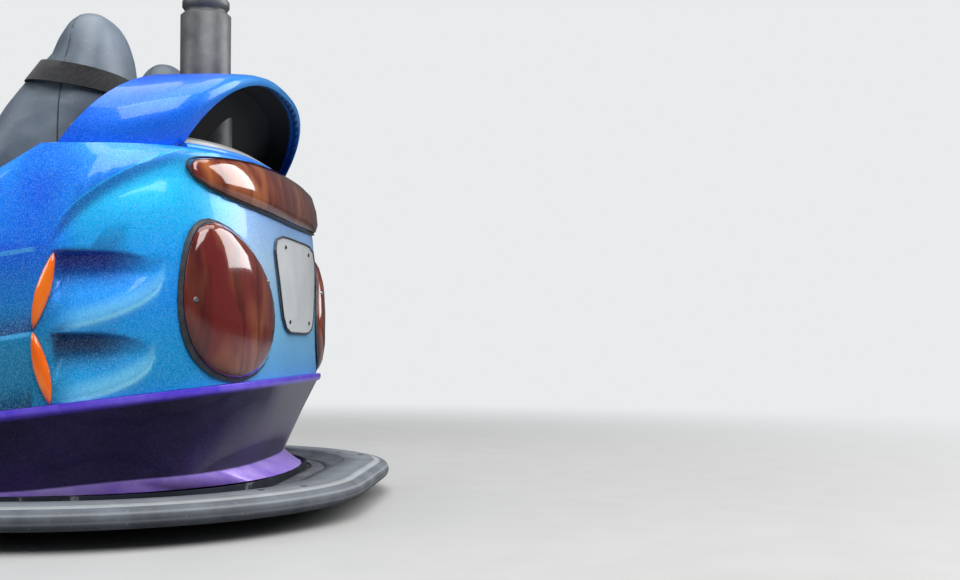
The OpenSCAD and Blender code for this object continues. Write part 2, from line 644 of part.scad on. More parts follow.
module at_rear(x) translate([x, -rear_y, rear_d / 2]) children();
beam_h = 48;
beam_half = rear_x - wheel_hole[0] / 2 - 2;
module rear_axle() color("gray") {
    translate([-beam_half, -rear_y - 20, pan_floor_z]) cube([2 * beam_half, 40, beam_h]);
    at_rear(0) rotate([0, 90, 0]) cylinder(2 * (rear_x + rear_w / 2 + 3), d = axle_d, center = true);
    for (x = [-1, 1]) at_rear(x * (rear_x + rear_w / 2 + 3)) rotate([0, 90, 0])
        cylinder(5, d = axle_d + 8, center = true);
}
module rear_hub_left() color("silver") at_rear(-rear_x) wheel_hub(rear_hub_r, rear_w - 4);
module rear_hub_right() color("silver") at_rear(rear_x) wheel_hub(rear_hub_r, rear_w - 4);
module rear_tyre_left() color("black") at_rear(-rear_x) wheel_tyre(rear_d / 2, rear_hub_r, rear_w);
module rear_tyre_right() color("black") at_rear(rear_x) wheel_tyre(rear_d / 2, rear_hub_r, rear_w);

// Mast: a socket on the pan, the tube, a rubber sleeve with ribs, and the collector head
module at_mast() translate([0, -mast_y, 0]) children();
socket_top_z = 560;
head_h = 120;
module mast_socket() color("dimgray") at_mast() difference() {
    union() {
        translate([0, 0, pan_floor_z + fit_gap]) cylinder(8, r = 70);
        translate([0, 0, pan_floor_z + fit_gap]) cylinder(socket_top_z - pan_floor_z, r = mast_d / 2 + 8);
    }
    translate([0, 0, pan_floor_z + 9]) cylinder(socket_top_z, r = mast_d / 2 + fit_gap);
}
module mast_pole() color("tomato") at_mast() {
    translate([0, 0, pan_floor_z + 9]) cylinder(mast_top_z - head_h - pan_floor_z - 9, d = mast_d);
    translate([0, 0, sleeve_bottom_z - 10.3]) cylinder(10, r = sleeve_d / 2 - 8);
}
sleeve_base_h = 176;
sleeve_cap_h = 60;
module mast_sleeve() color("dimgray") at_mast() translate([0, 0, sleeve_bottom_z]) {
    r = sleeve_d / 2;
    waist = r - 9;
    rib_h = (sleeve_length - sleeve_base_h - sleeve_cap_h) / sleeve_ribs;
    rotate_extrude() polygon(concat(
        [[mast_d / 2 + fit_gap, 0], [r, 0], [r, sleeve_base_h - 8], [waist, sleeve_base_h]],
        [for (k = [0:sleeve_ribs - 1]) let (z = sleeve_base_h + k * rib_h) each [
            [r - 3, z + rib_h * 0.3], [r - 3, z + rib_h * 0.7], [waist, z + rib_h]]],
        [[waist, sleeve_length - 8], [waist - 6, sleeve_length], [mast_d / 2 + fit_gap, sleeve_length]]
    ));
}
module collector_head() color("silver") at_mast() {
    shoe_r = 90;
    translate([0, 0, mast_top_z - head_h]) cylinder(70, r = 32);
    translate([-20, 0, mast_top_z - shoe_r]) rotate([90, 0, 90]) linear_extrude(40) difference() {
        circle(shoe_r);
        circle(shoe_r - 8);
        translate([-shoe_r - 1, -shoe_r - 21]) square([2 * shoe_r + 2, shoe_r + 60]);
    }
    translate([-12, -12, mast_top_z - head_h + 60]) cube([24, 24, head_h - 65]);
}

// Lamps lie on the body's skin. Each is [station, height, half width in stations, half height, power,
// taper, lean, bend, rise of its ends]. A lens profile is [share of the radius, share of its bulge].
tail_lamp = [0.4034, 356.2, 0.1358, 120.2, 1.9, -0.215, 0.0325, 0.0396, 0];
brake_lamp_at = [0, 547, 0.524, 43.5, 2.5, 0, 0, 0, 16];
side_lamp_rows = [
    [0.808, 368, 0.017, 57, 1.5, 0, -0.019, 0, 0], [0.808, 253, 0.017, 54, 1.5, 0, 0.019, 0, 0]
];
head_lamp = [2.5, 340, 0.13, 62, 2.2, -0.2, 0, 0, 0];
number_plate_at = [0, 392, 0.2075, 83.7, 6, 0.19, 0, 0, 0];
lens_profile = [[0.3, 0], [0.6, 0], [0.8, 0], [1, 0], [1, 0.35], [0.9, 0.65], [0.7, 0.87], [0.35, 0.98]];
low_profile = [[0.6, 0], [1, 0], [1, 0.35], [0.85, 0.75], [0.45, 0.96]];
flat_profile = [[0.5, 0], [1, 0], [1, 1], [0.6, 1]];
lamp_seat = 1.1;
station_mm = 690;
function lamp_pt(l, v, theta, out, wide = 0) =
    let (
        r = v * bow(l[4], theta),
        x = (r + wide / l[2] / station_mm) * cos(theta),
        y = (r + wide / l[3]) * sin(theta),
        station = -(l[0] + l[2] * x * (1 + l[5] * y) + l[6] * y + l[7] * y * y)
    ) skin_at(station, l[1] + l[3] * y + l[8] * pow(x, 6), out);
module lens(l, bulge, profile, n) {
    thetas = [for (i = [0:n - 1]) 360 * i / n];
    capped_skin(
        lamp_pt(l, 0, 0, lamp_seat),
        [for (p = profile) [for (t = thetas) lamp_pt(l, p[0], t, lamp_seat + p[1] * bulge)]],
        lamp_pt(l, 0, 0, lamp_seat + bulge)
    );
}
gasket_h = 5;
module gasket(l, wide, n) hoop_skin([for (i = [0:n - 1]) [
    for (q = [[1, lamp_seat], [wide, lamp_seat], [wide, gasket_h * 0.6], [1, gasket_h]])
        lamp_pt(l, 1, -360 * i / n, q[1], q[0])]]);
module tail_lamp_left() color("darkred") lens(tail_lamp, 18, lens_profile, 32);
module tail_lamp_right() color("darkred") mirror([1, 0, 0]) lens(tail_lamp, 18, lens_profile, 32);
module tail_gaskets() color("black") {
    gasket(tail_lamp, 7, 32);
    mirror([1, 0, 0]) gasket(tail_lamp, 7, 32);
}
// A long lens is built from sections across it: [share of the half height, share of the bulge]
long_section = [
    [-1, 0], [-0.5, 0], [0, 0], [0.5, 0], [1, 0], [0.92, 0.5], [0.6, 0.9], [0, 1], [-0.6, 0.9], [-0.92, 0.5]
];
function long_pt(l, x, y, out) =
    let (edge = pow(1 - pow(abs(x), l[4]), 1 / l[4]))
    skin_at(-(l[0] + l[2] * x), l[1] + l[3] * y * edge + l[8] * pow(x, 6), out);
module long_lens(l, bulge, n) capped_skin(
    long_pt(l, -1, 0, lamp_seat),
    [for (x = steps(-0.97, 0.97, n))
        [for (q = long_section) long_pt(l, x, q[0], lamp_seat + q[1] * bulge * sqrt(1 - x * x))]],
    long_pt(l, 1, 0, lamp_seat)
);
module brake_lamp() color("saddlebrown") long_lens(brake_lamp_at, 16, 30);
module brake_gasket() color("black") gasket(brake_lamp_at, 4, 44);
module side_lamps() color("orangered") for (m = [0, 1], l = side_lamp_rows) mirror([m, 0, 0])
    lens(l, 8, low_profile, 16);
module number_plate() color("gainsboro") lens(number_plate_at, 2.5, flat_profile, 32);
module headlamps() color("lightyellow") for (m = [0, 1]) mirror([m, 0, 0])
    lens(head_lamp, 18, lens_profile, 20);

chassis_pan();
ring_band();
bumper_ring();
skirt();
rear_shell();
side_shell_left();
side_shell_right();
nose_shell();
hood();
hood_bulkhead();
rear_deck();
cockpit_liner();
cockpit_floor();
dash_cowl();
seat_box();
bench_cushion();
seat_back_left();
seat_back_right();
strap_left();
strap_right();
steering_column();
steering_wheel();
foot_pedal();
drive_race();
drive_unit();
drive_motor();
drive_hub();
drive_tyre();
rear_axle();
rear_hub_left();
rear_hub_right();
rear_tyre_left();
rear_tyre_right();
mast_socket();
mast_pole();
mast_sleeve();
collector_head();
tail_lamp_left();
tail_lamp_right();
tail_gaskets();
brake_lamp();
brake_gasket();
side_lamps();
number_plate();
headlamps();
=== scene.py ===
import math

import bmesh
import bpy
from mathutils import Matrix, Vector
from mathutils.bvhtree import BVHTree


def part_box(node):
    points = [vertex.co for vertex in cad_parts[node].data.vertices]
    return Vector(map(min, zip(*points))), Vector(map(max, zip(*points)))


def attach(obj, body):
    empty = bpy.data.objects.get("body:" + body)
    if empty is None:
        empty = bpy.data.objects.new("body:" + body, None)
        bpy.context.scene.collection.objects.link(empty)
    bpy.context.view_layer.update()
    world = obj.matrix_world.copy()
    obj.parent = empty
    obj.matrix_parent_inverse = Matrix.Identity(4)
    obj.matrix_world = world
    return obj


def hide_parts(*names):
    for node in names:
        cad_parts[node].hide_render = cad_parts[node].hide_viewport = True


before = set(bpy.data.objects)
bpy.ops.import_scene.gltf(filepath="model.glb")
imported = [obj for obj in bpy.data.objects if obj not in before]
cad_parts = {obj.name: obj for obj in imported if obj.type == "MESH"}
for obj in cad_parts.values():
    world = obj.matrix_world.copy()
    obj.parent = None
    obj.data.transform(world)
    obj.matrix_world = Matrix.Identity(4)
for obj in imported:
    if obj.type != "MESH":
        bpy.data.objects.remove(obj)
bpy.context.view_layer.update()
scene = bpy.context.scene

# Camera
# It stands low beside the car's left rear corner and looks across the tail with a 50 mm lens.
camera_data = bpy.data.cameras.new("camera")
camera_data.lens = 50
camera_data.sensor_width = 36
camera = bpy.data.objects.new("camera", camera_data)
scene.collection.objects.link(camera)
turn, pitch = math.radians(3.4), math.radians(2.3)
look = Vector((math.cos(turn) * math.cos(pitch), math.sin(turn) * math.cos(pitch), math.sin(pitch)))
camera.location = (-2.406, -1.305, 0.29)
camera.rotation_euler = look.to_track_quat("-Z", "Y").to_euler()
scene.camera = camera
scene.view_settings.view_transform = "Standard"


# Floor, backdrop and light
# A pale studio floor that fades into the backdrop away from the car and keeps the car's shadow.
# Soft boxes light it from the left, from above, from behind and from the front.
def paint(text):
    """An sRGB hex colour as linear red, green, blue and alpha."""
    parts = [int(text[i:i + 2], 16) / 255 for i in (1, 3, 5)]
    return tuple(c / 12.92 if c <= 0.04045 else ((c + 0.055) / 1.055) ** 2.4 for c in parts) + (1.0,)


def add(tree, kind, inputs=None, **settings):
    """Adds a shader node with its settings, and with a value or a link on each named input."""
    made = tree.nodes.new("ShaderNode" + kind)
    for name, value in settings.items():
        setattr(made, name, value)
    for name, value in (inputs or {}).items():
        if isinstance(value, bpy.types.NodeSocket):
            tree.links.new(value, made.inputs[name])
        else:
            made.inputs[name].default_value = value
    return made


floor_data = bpy.data.meshes.new("floor")
made = bmesh.new()
bmesh.ops.create_circle(made, cap_ends=True, segments=64, radius=40)
made.to_mesh(floor_data)
made.free()
floor = bpy.data.objects.new("floor", floor_data)
scene.collection.objects.link(floor)
pale_floor = bpy.data.materials.new("pale_floor")
pale_floor.use_nodes = True
tree = pale_floor.node_tree
tree.nodes.clear()
fade_start, fade_end, clouds_mm = 1.7, 4.2, 111
at = add(tree, "TexCoord").outputs["Object"]
away = add(tree, "VectorMath", {0: at}, operation="LENGTH")
far = add(tree, "MapRange", {"Value": away.outputs["Value"], "From Min": fade_start, "From Max": fade_end},
          interpolation_type="SMOOTHSTEP")
path = add(tree, "LightPath")
shown = add(tree, "Math", {0: far.outputs[0], 1: path.outputs["Is Camera Ray"]}, operation="MULTIPLY")
screed = add(tree, "TexNoise", {"Vector": at, "Scale": 1000 / clouds_mm, "Detail": 4.0})
tone = add(tree, "Mix", {0: screed.outputs["Fac"], 6: paint("#A3A3A1"), 7: paint("#ADADAB")},
           data_type="RGBA")
laid = add(tree, "Mix", {0: path.outputs["Is Camera Ray"], 6: paint("#77787A"), 7: tone.outputs[2]},
           data_type="RGBA")
ground = add(tree, "BsdfPrincipled", {"Base Color": laid.outputs[2], "Roughness": 0.6})
haze = add(tree, "Emission", {"Color": paint("#E9EBED"), "Strength": 1.0})
both = add(tree, "MixShader", {0: shown.outputs[0], 1: ground.outputs[0], 2: haze.outputs[0]})
add(tree, "OutputMaterial", {"Surface": both.outputs[0]})
floor_data.materials.append(pale_floor)

world = bpy.data.worlds.new("studio")
world.use_nodes = True
scene.world = world
tree = world.node_tree
tree.nodes.clear()
path = add(tree, "LightPath")
seen = add(tree, "Math", {0: path.outputs["Is Camera Ray"], 1: path.outputs["Is Transmission Ray"]},
           operation="MAXIMUM")
backdrop = add(tree, "Background", {"Color": paint("#E9EBED"), "Strength": 1.0})
level = add(tree, "MapRange", {"Value": path.outputs["Is Glossy Ray"], "To Min": 0.36, "To Max": 0.12})
sky = add(tree, "Background", {"Color": paint("#DDE4EC"), "Strength": level.outputs[0]})
both = add(tree, "MixShader", {0: seen.outputs[0], 1: sky.outputs[0], 2: backdrop.outputs[0]})
add(tree, "OutputWorld", {"Surface": both.outputs[0]})

for name, spot, aim, size, watts in [
    ("key_box", (-2.8, -2.0, 4.0), (0, -0.4, 0.4), 3.4, 215),
    ("top_box", (0.2, -0.4, 4.4), (0, -0.2, 0.4), 4.2, 140),
    ("tail_box", (1.6, -4.2, 2.6), (0, -0.5, 0.4), 3.0, 150),
    ("front_box", (-1.6, 3.4, 2.6), (0, 0.4, 0.4), 2.4, 60),
]:
    lamp = bpy.data.lights.new(name, "AREA")
    lamp.shape, lamp.size, lamp.energy = "SQUARE", size, watts
    box = bpy.data.objects.new(name, lamp)
    box.location = spot
    box.rotation_euler = (Vector(aim) - Vector(spot)).to_track_quat("-Z", "Y").to_euler()
    scene.collection.objects.link(box)


# Steel pan and ring band
# A shallow pan welded from 4 mm plate, painted blue-black and worn to bare steel where the floor rubs it.
# Its blue-black is kept dark partly as painted shade for the slot between the skirt's foot and the ring.
# The band round it is a rolled flat bar that the rubber ring grips. Hex bolts under the pan hold the body.
def cad_copy(node):
    """A CAD node's triangles as one joined bmesh."""
    made = bmesh.new()
    made.from_mesh(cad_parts[node].data)
    bmesh.ops.remove_doubles(made, verts=made.verts, dist=2e-5)
    bmesh.ops.dissolve_degenerate(made, edges=made.edges, dist=1e-6)
    return made


def piece(name, made, materials, body, stands_for=(), sharp=35):
    """Makes a bmesh an object that rides on a body, with its materials and its smooth shading."""
    mesh = bpy.data.meshes.new(name)
    made.to_mesh(mesh)
    made.free()
    mesh.shade_smooth()
    mesh.set_sharp_from_angle(angle=math.radians(sharp))
    for each in materials if isinstance(materials, list) else [materials]:
        mesh.materials.append(each)
    obj = bpy.data.objects.new(name, mesh)
    scene.collection.objects.link(obj)
    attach(obj, body)
    if stands_for:
        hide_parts(*stands_for)
    return obj


def finish(coat):
    """A material named for its finish, with one Principled shader that takes what the finish gives."""
    made = bpy.data.materials.new(coat.__name__)
    made.use_nodes = True
    tree = made.node_tree
    tree.nodes.clear()
    shader = add(tree, "BsdfPrincipled", coat(tree))
    add(tree, "OutputMaterial", {"Surface": shader.outputs[0]})
    return made


def mottled(tree, patch_mm, dark, light):
    """Two tones in soft patches of about this size."""
    at = add(tree, "TexCoord").outputs["Object"]
    cloud = add(tree, "TexNoise", {"Vector": at, "Scale": 1000 / patch_mm, "Detail": 5.0, "Roughness": 0.6})
    share = add(tree, "MapRange", {"Value": cloud.outputs["Fac"], "From Min": 0.35, "From Max": 0.65})
    tone = add(tree, "Mix", {0: share.outputs[0], 6: paint(dark), 7: paint(light)}, data_type="RGBA")
    return tone.outputs[2]


def rubbed(tree, clean, bare, patch_mm, share):
    """A colour that is worn through to a bare one in ragged patches above a share of the noise."""
    at = add(tree, "TexCoord").outputs["Object"]
    cloud = add(tree, "TexNoise", {"Vector": at, "Scale": 1000 / patch_mm, "Detail": 7.0, "Roughness": 0.68})
    worn = add(tree, "MapRange", {"Value": cloud.outputs["Fac"], "From Min": share, "From Max": share + 0.05})
    return add(tree, "Mix", {0: worn.outputs[0], 6: clean, 7: paint(bare)}, data_type="RGBA").outputs[2]


def grained(tree, grain_mm, depth_mm, under=None):
    """A fine grain of this width and depth, as a normal, on top of another one."""
    at = add(tree, "TexCoord").outputs["Object"]
    cloud = add(tree, "TexNoise", {"Vector": at, "Scale": 1000 / grain_mm, "Detail": 5.0, "Roughness": 0.6})
    lift = {"Height": cloud.outputs["Fac"], "Distance": depth_mm / 1000, "Strength": 1.0}
    return add(tree, "Bump", {**lift, "Normal": under} if under else lift).outputs[0]


def pan_paint_and_slot_shade(tree):
    """Brush-painted plate: blue-black, kept dark partly as painted shade, with bare, dusty steel in patches,
    and a faint orange peel.
    """
    # The blue-black stands partly for painted shade in the slot between the skirt's foot and the ring.
    colour = rubbed(tree, mottled(tree, 90, "#191D25", "#262D39"), "#6E7072", 34, 0.6)
    return {"Base Color": colour, "Metallic": 0.3, "Roughness": 0.5, "Normal": grained(tree, 4, 0.15)}


def black_band_steel(tree):
    """Rolled bar in black enamel, worn grey along its edge."""
    colour = rubbed(tree, paint("#29292A"), "#6A6662", 22, 0.57)
    return {"Base Color": colour, "Metallic": 0.3, "Roughness": 0.55, "Normal": grained(tree, 3, 0.1)}


def zinc_plate(tree):
    """Zinc-plated fasteners: pale grey metal, slightly clouded."""
    return {"Base Color": mottled(tree, 8, "#8C8E8C", "#B4B5B1"), "Metallic": 1.0, "Roughness": 0.36}


def fastener(made, spot, facing, radius, height, sides=6, taper=1.0):
    """Adds a bolt or screw head that stands on a spot and looks along a direction."""
    turned = Vector(facing).to_track_quat("Z", "Y").to_matrix().to_4x4()
    bmesh.ops.create_cone(
        made, cap_ends=True, segments=sides, radius1=radius, radius2=radius * taper, depth=height,
        matrix=Matrix.Translation(spot) @ turned @ Matrix.Translation((0, 0, height * 0.4)))


pan_paint_and_shade, band_finish, zinc = finish(pan_paint_and_slot_shade), finish(black_band_steel), finish(zinc_plate)
piece("pan", cad_copy("chassis_pan"), pan_paint_and_shade, "car", ["chassis_pan"])
piece("band", cad_copy("ring_band"), band_finish, "car", ["ring_band"])
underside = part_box("chassis_pan")[0].z + 0.0002
made = bmesh.new()
for x, y in [(0.40, -0.45), (0.40, -0.15), (0.40, 0.15), (0.40, 0.45), (0.14, -0.72), (0.14, 0.76)]:
    for side in (-1, 1):
        fastener(made, (side * x, y, underside), (0, 0, -1), 0.008, 0.006)
piece("pan_bolts", made, zinc, "car")


# Rubber ring
# One moulding of solid rubber, grey with dust, with fine ridges in its trough and a pale line along the step
# near its outer edge, partly scuffing and partly a painted highlight. Painted shade darkens it below and in
# the trough. Blind holes in pairs take the lifting hooks; they are drawn as thin discs in a dark painted
# shade.
def banded(tree, share, tones):
    """Bands of colour that blend into one another along a share, from a list of places and tones."""
    ramp = add(tree, "ValToRGB", {"Fac": share})
    for index, (place, tone) in enumerate(tones):
        stop = ramp.color_ramp.elements[index] if index < 2 else ramp.color_ramp.elements.new(place)
        stop.position, stop.color = place, paint(tone)
    return ramp.outputs["Color"]


def dusty_rubber_and_painted_shade(tree):
    """Moulded rubber: matt grey under dust, paler where it rubs, and darker below and in the trough as
    painted shade.
    """
    corner_radius, face_width, trough, ridge_pitch, ridge_height = 0.48, 0.15, 0.10, 0.005, 0.0008
    low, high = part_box("bumper_ring")
    centre = (high.x - corner_radius, high.y - corner_radius, 0.0)
    at = add(tree, "TexCoord").outputs["Object"]
    folded = add(tree, "VectorMath", {0: at}, operation="ABSOLUTE")
    past = add(tree, "VectorMath", {0: folded.outputs[0], 1: centre}, operation="SUBTRACT")
    corner = add(tree, "VectorMath", {0: past.outputs[0], 1: (0.0, 0.0, 0.0)}, operation="MAXIMUM")
    level = add(tree, "VectorMath", {0: corner.outputs[0], 1: (1.0, 1.0, 0.0)}, operation="MULTIPLY")
    radius = add(tree, "VectorMath", {0: level.outputs[0]}, operation="LENGTH")
    inset = add(tree, "Math", {0: corner_radius, 1: radius.outputs["Value"]}, operation="SUBTRACT")
    share = add(tree, "Math", {0: inset.outputs[0], 1: face_width}, operation="DIVIDE")
    # Top face bands: painted shade in the trough, and a pale line on the step that is partly scuffing and
    # partly painted highlight.
    face = banded(tree, share.outputs[0], [
        (0.0, "#45474A"), (0.10, "#565A5E"), (0.14, "#A9AAA8"), (0.18, "#9EA09F"), (0.21, "#5C5F62"),
        (0.34, "#707478"), (0.60, "#686C70"), (0.66, "#4C4F52"), (1.0, "#37393B"),
    ])
    height = add(tree, "SeparateXYZ", {"Vector": at})
    up = add(tree, "MapRange", {"Value": height.outputs["Z"], "From Min": low.z, "From Max": high.z})
    # Side bands: painted shade at the bottom, and pale lines that are partly wear and partly painted
    # highlight.
    side = banded(tree, up.outputs[0], [
        (0.0, "#2A2C2E"), (0.25, "#3A3D40"), (0.36, "#73767A"), (0.42, "#45484B"), (0.62, "#484C50"),
        (0.70, "#8C8E90"), (0.78, "#54585C"),
    ])
    edge = add(tree, "MapRange", {"Value": inset.outputs[0], "From Min": 0.006, "From Max": 0.010})
    clean = add(tree, "Mix", {0: edge.outputs[0], 6: side, 7: face}, data_type="RGBA")
    dust_and_shade = add(tree, "Mix", {0: 0.4, 6: clean.outputs[2], 7: mottled(tree, 70, "#464C56", "#767D88")},
               data_type="RGBA")
    colour = rubbed(tree, dust_and_shade.outputs[2], "#9B9A93", 6, 0.64)
    wave = add(tree, "Math", {0: inset.outputs[0], 1: 2 * math.pi / ridge_pitch}, operation="MULTIPLY")
    ridge = add(tree, "Math", {0: wave.outputs[0]}, operation="SINE")
    deep = add(tree, "MapRange", {"Value": inset.outputs[0], "From Min": trough - 0.007, "From Max": trough})
    lift = add(tree, "Math", {0: ridge.outputs[0], 1: deep.outputs[0]}, operation="MULTIPLY")
    ridged = add(tree, "Bump", {"Height": lift.outputs[0], "Distance": ridge_height / 2, "Strength": 1.0})
    return {"Base Color": colour, "Roughness": 0.8, "Normal": grained(tree, 2.2, 0.35, ridged.outputs[0])}


ring_rubber_and_shade = finish(dusty_rubber_and_painted_shade)
piece("ring", cad_copy("bumper_ring"), ring_rubber_and_shade, "car", ["bumper_ring"])


def shadowed_hole(tree):
    """The inside of a hole: rubber with no light on it."""
    return {"Base Color": mottled(tree, 5, "#131311", "#1E1D1B"), "Roughness": 0.9}


# The holes are thin discs in a dark painted shade that stands in for their depth.
face_height = 0.0634
made = bmesh.new()
for x, y in [(0.30, -0.90), (0.36, -0.845), (0.30, 0.90), (0.36, 0.845)]:
    for side in (-1, 1):
        fastener(made, (side * x, y, face_height), (0, 0, 1), 0.006, 0.0010, sides=16)
piece("ring_holes", made, finish(shadowed_hole), "car")


# Skirt
# One moulding that hangs from the body's waist, sprayed dark violet with fine metal flake under clear coat.
# Its rolled lip is bright violet. Below a crisp crease its foot flares out in lilac.

# The waist and the skirt's crease climb towards the tail, each from one place (y, z) to another.
WAIST_START, WAIST_END = (-0.43, 0.182), (-0.83, 0.232)
CREASE_START, CREASE_END = (-0.43, 0.0665), (-0.685, 0.082)


def fade(tree, axis, start, end):
    """A share that goes from 0 to 1 between two places along an axis, in metres."""
    at = add(tree, "SeparateXYZ", {"Vector": add(tree, "TexCoord").outputs["Object"]})
    return add(tree, "MapRange", {"Value": at.outputs[axis], "From Min": start, "From Max": end},
               interpolation_type="SMOOTHSTEP").outputs[0]


def flaked(tree, colour, light, dark, strength=0.34):
    """A colour with bright and dark metal flakes. Real flakes are 0.2 mm, drawn at 1 mm so that they show."""
    at = add(tree, "TexCoord").outputs["Object"]
    for size_mm, tone, first in [(1.0, light, 0.55), (1.4, dark, 0.60)]:
        cells = add(tree, "TexVoronoi", {"Vector": at, "Scale": 1000 / size_mm}, feature="F1")
        chance = add(tree, "SeparateColor", {"Color": cells.outputs["Color"]})
        lit = add(tree, "MapRange", {"Value": chance.outputs[0], "From Min": first, "From Max": 1.0,
                                     "To Max": strength})
        colour = add(tree, "Mix", {0: lit.outputs[0], 6: colour, 7: paint(tone)}, data_type="RGBA").outputs[2]
    return colour


def violet_flake_gelcoat(tree):
    """Flake lacquer over gelcoat: dark violet wall, bright lip, lilac foot, and a deep wet gloss."""
    at = add(tree, "SeparateXYZ", {"Vector": add(tree, "TexCoord").outputs["Object"]})
    waist = add(tree, "MapRange", {"Value": at.outputs["Y"], "From Min": WAIST_START[0],
                                   "From Max": WAIST_END[0], "To Min": WAIST_START[1],
                                   "To Max": WAIST_END[1]})
    depth = add(tree, "Math", {0: waist.outputs[0], 1: at.outputs["Z"]}, operation="SUBTRACT")
    lip = add(tree, "MapRange", {"Value": depth.outputs[0], "From Min": 0.010, "From Max": 0.016})
    wall = add(tree, "Mix", {0: lip.outputs[0], 6: mottled(tree, 60, "#5A3EE4", "#7C64F4"),
                             7: mottled(tree, 180, "#1D1733", "#332356")}, data_type="RGBA")
    crease = add(tree, "MapRange", {"Value": at.outputs["Y"], "From Min": CREASE_START[0],
                                    "From Max": CREASE_END[0], "To Min": CREASE_START[1],
                                    "To Max": CREASE_END[1]}, interpolation_type="SMOOTHSTEP")
    below = add(tree, "Math", {0: crease.outputs[0], 1: at.outputs["Z"]}, operation="SUBTRACT")
    foot = add(tree, "MapRange", {"Value": below.outputs[0], "From Min": -0.002, "From Max": 0.001})
    colour = add(tree, "Mix", {0: foot.outputs[0], 6: wall.outputs[2],
                               7: mottled(tree, 80, "#9A74EE", "#C4A8FC")}, data_type="RGBA")
    scuffed = rubbed(tree, colour.outputs[2], "#8C82A8", 26, 0.72)
    return {"Base Color": flaked(tree, scuffed, "#8E78D8", "#191130", 0.14), "Metallic": 0.25,
            "Roughness": 0.34, "Specular IOR Level": 0.3, "Coat Weight": 0.5, "Coat Roughness": 0.06}


violet = finish(violet_flake_gelcoat)
piece("skirt_moulding", cad_copy("skirt"), violet, "car", ["skirt"])


# Body shells
# Glass-fibre mouldings in blue metal flake that turns teal low on the sides and fades over cyan to a
# silvery blue at the tail; the fades are partly the paint's own and partly painted light, with painted shade
# low on the sides and a painted sky reflection at the pale tail. Each quarter has two scoops and a crease
# that sweeps up to the hood, with painted shade under their top edges and painted highlights along their
# ridges.

# Each scoop is (top of its mouth, foot of its mouth, height of its tip, y of its tip, depth).
SCOOP_FRONT = -0.557
SCOOPS = [(0.430, 0.312, 0.388, -0.708, 0.024), (0.306, 0.200, 0.268, -0.697, 0.022)]
TOP_POWER, FOOT_POWER = 4.0, 1.4


def scoop_depth(y, z):
    """How deep a place lies in the two scoops: coved under the top edge, with a low crest below the foot."""
    deepest, crest, crest_width = 0.68, 0.12, 0.15
    deep = 0
    for top, foot, tip, end, depth in SCOOPS:
        run = (SCOOP_FRONT - y) / (SCOOP_FRONT - end)
        if not 0 < run < 1:
            continue
        upper = tip + (top - tip) * math.sqrt(1 - run ** TOP_POWER)
        lower = tip + (foot - tip) * math.sqrt(1 - run ** FOOT_POWER)
        climb = (z - lower) / (upper - lower)
        share = 0
        if -crest_width < climb < 0:
            share = -crest * (1 + climb / crest_width) * min(1, run / 0.2)
        elif 0 <= climb < deepest:
            share = (1 + crest) * (climb / deepest) ** 1.6 - crest
        elif deepest <= climb < 1:
            share = math.sqrt(1 - ((climb - deepest) / (1 - deepest)) ** 2)
        deep += share * depth * (1 - run ** 2)
    return deep


def scooped(made):
    """Divides the shell round its scoops and moves both its faces on to the scoops' rounded leaf shape."""
    half_width, tail_start, tail_length, plan_power = 0.475, -0.410, 0.420, 3.6
    rim_height, rim_inset, side_power, narrowest = 0.598, 0.050, 3.2, 0.38
    front, rear, foot, top = -0.5572, -0.714, 0.196, 0.436
    slope = (WAIST_END[1] - WAIST_START[1]) / (WAIST_START[0] - WAIST_END[0])
    skin = BVHTree.FromBMesh(made)
    near = {v for v in made.verts if rear - 0.002 < v.co.y < front + 0.0007 and foot < v.co.z < top + 0.034}
    bmesh.ops.subdivide_edges(made, edges=[e for e in made.edges if near.issuperset(e.verts)],
                              cuts=3, use_grid_fill=True)
    for v in made.verts:
        y, z = v.co.y, v.co.z
        waist = WAIST_START[1] + slope * (WAIST_START[0] - y)
        # The move blends in over a few millimetres from the borders of the scooped stretch
        room = min(1, (front - y) / 0.0005, (y - rear) / 0.008, (top - z) / 0.004,
                   (z - waist - 0.002) / 0.006)
        side = 1 if v.co.x > 0 else -1
        spot = skin.ray_cast(Vector((side, y, z)), Vector((-side, 0, 0)))[0] if room > 0 else None
        if spot and abs(v.co.x) > narrowest:
            run, climb = (tail_start - y) / tail_length, (z - waist) / (rim_height - waist)
            inset = rim_inset * (1 - (1 - climb ** side_power) ** (1 / side_power))
            plain = half_width * (1 - run ** plan_power) ** (1 / plan_power) - inset
            v.co.x += side * (plain - scoop_depth(y, z) - abs(spot.x)) * room
    return made


def paint_and_light_zones(tree, at):
    """The fades of the plain body: teal to blue on the sides, cyan on the quarters, silver at the tail,
    partly painted light.
    """
    climb = add(tree, "MapRange", {"Value": at.outputs["Z"], "From Min": 0.18, "From Max": 0.62})
    # The darker teal low on the sides is partly painted shade, and the pale silver at the tail partly a
    # painted sky reflection.
    sides, quarters, middle = [banded(tree, climb.outputs[0], tones) for tones in [
        [(0.0, "#006E8C"), (0.25, "#0084B4"), (0.45, "#0478DC"), (0.62, "#0052F0"), (1.0, "#0082FF")],
        [(0.0, "#0090CC"), (0.25, "#0098DC"), (0.42, "#0A98FA"), (0.58, "#00A6FC"), (0.74, "#00C0FC"),
         (1.0, "#10BCFA")],
        [(0.0, "#3E9CE8"), (0.30, "#78BCE4"), (0.55, "#A6C4DE"), (0.80, "#84B0EE"), (1.0, "#1088F0")],
    ]]
    flanks = add(tree, "Mix", {0: fade(tree, "Y", -0.53, -0.60), 6: sides, 7: quarters}, data_type="RGBA")
    across = add(tree, "Math", {0: at.outputs["X"]}, operation="ABSOLUTE")
    inner = add(tree, "MapRange", {"Value": across.outputs[0], "From Min": 0.41, "From Max": 0.26},
                interpolation_type="SMOOTHSTEP")
    behind = add(tree, "Math", {0: inner.outputs[0], 1: fade(tree, "Y", -0.60, -0.72)}, operation="MULTIPLY")
    return add(tree, "Mix", {0: behind.outputs[0], 6: flanks.outputs[2], 7: middle},
               data_type="RGBA").outputs[2]


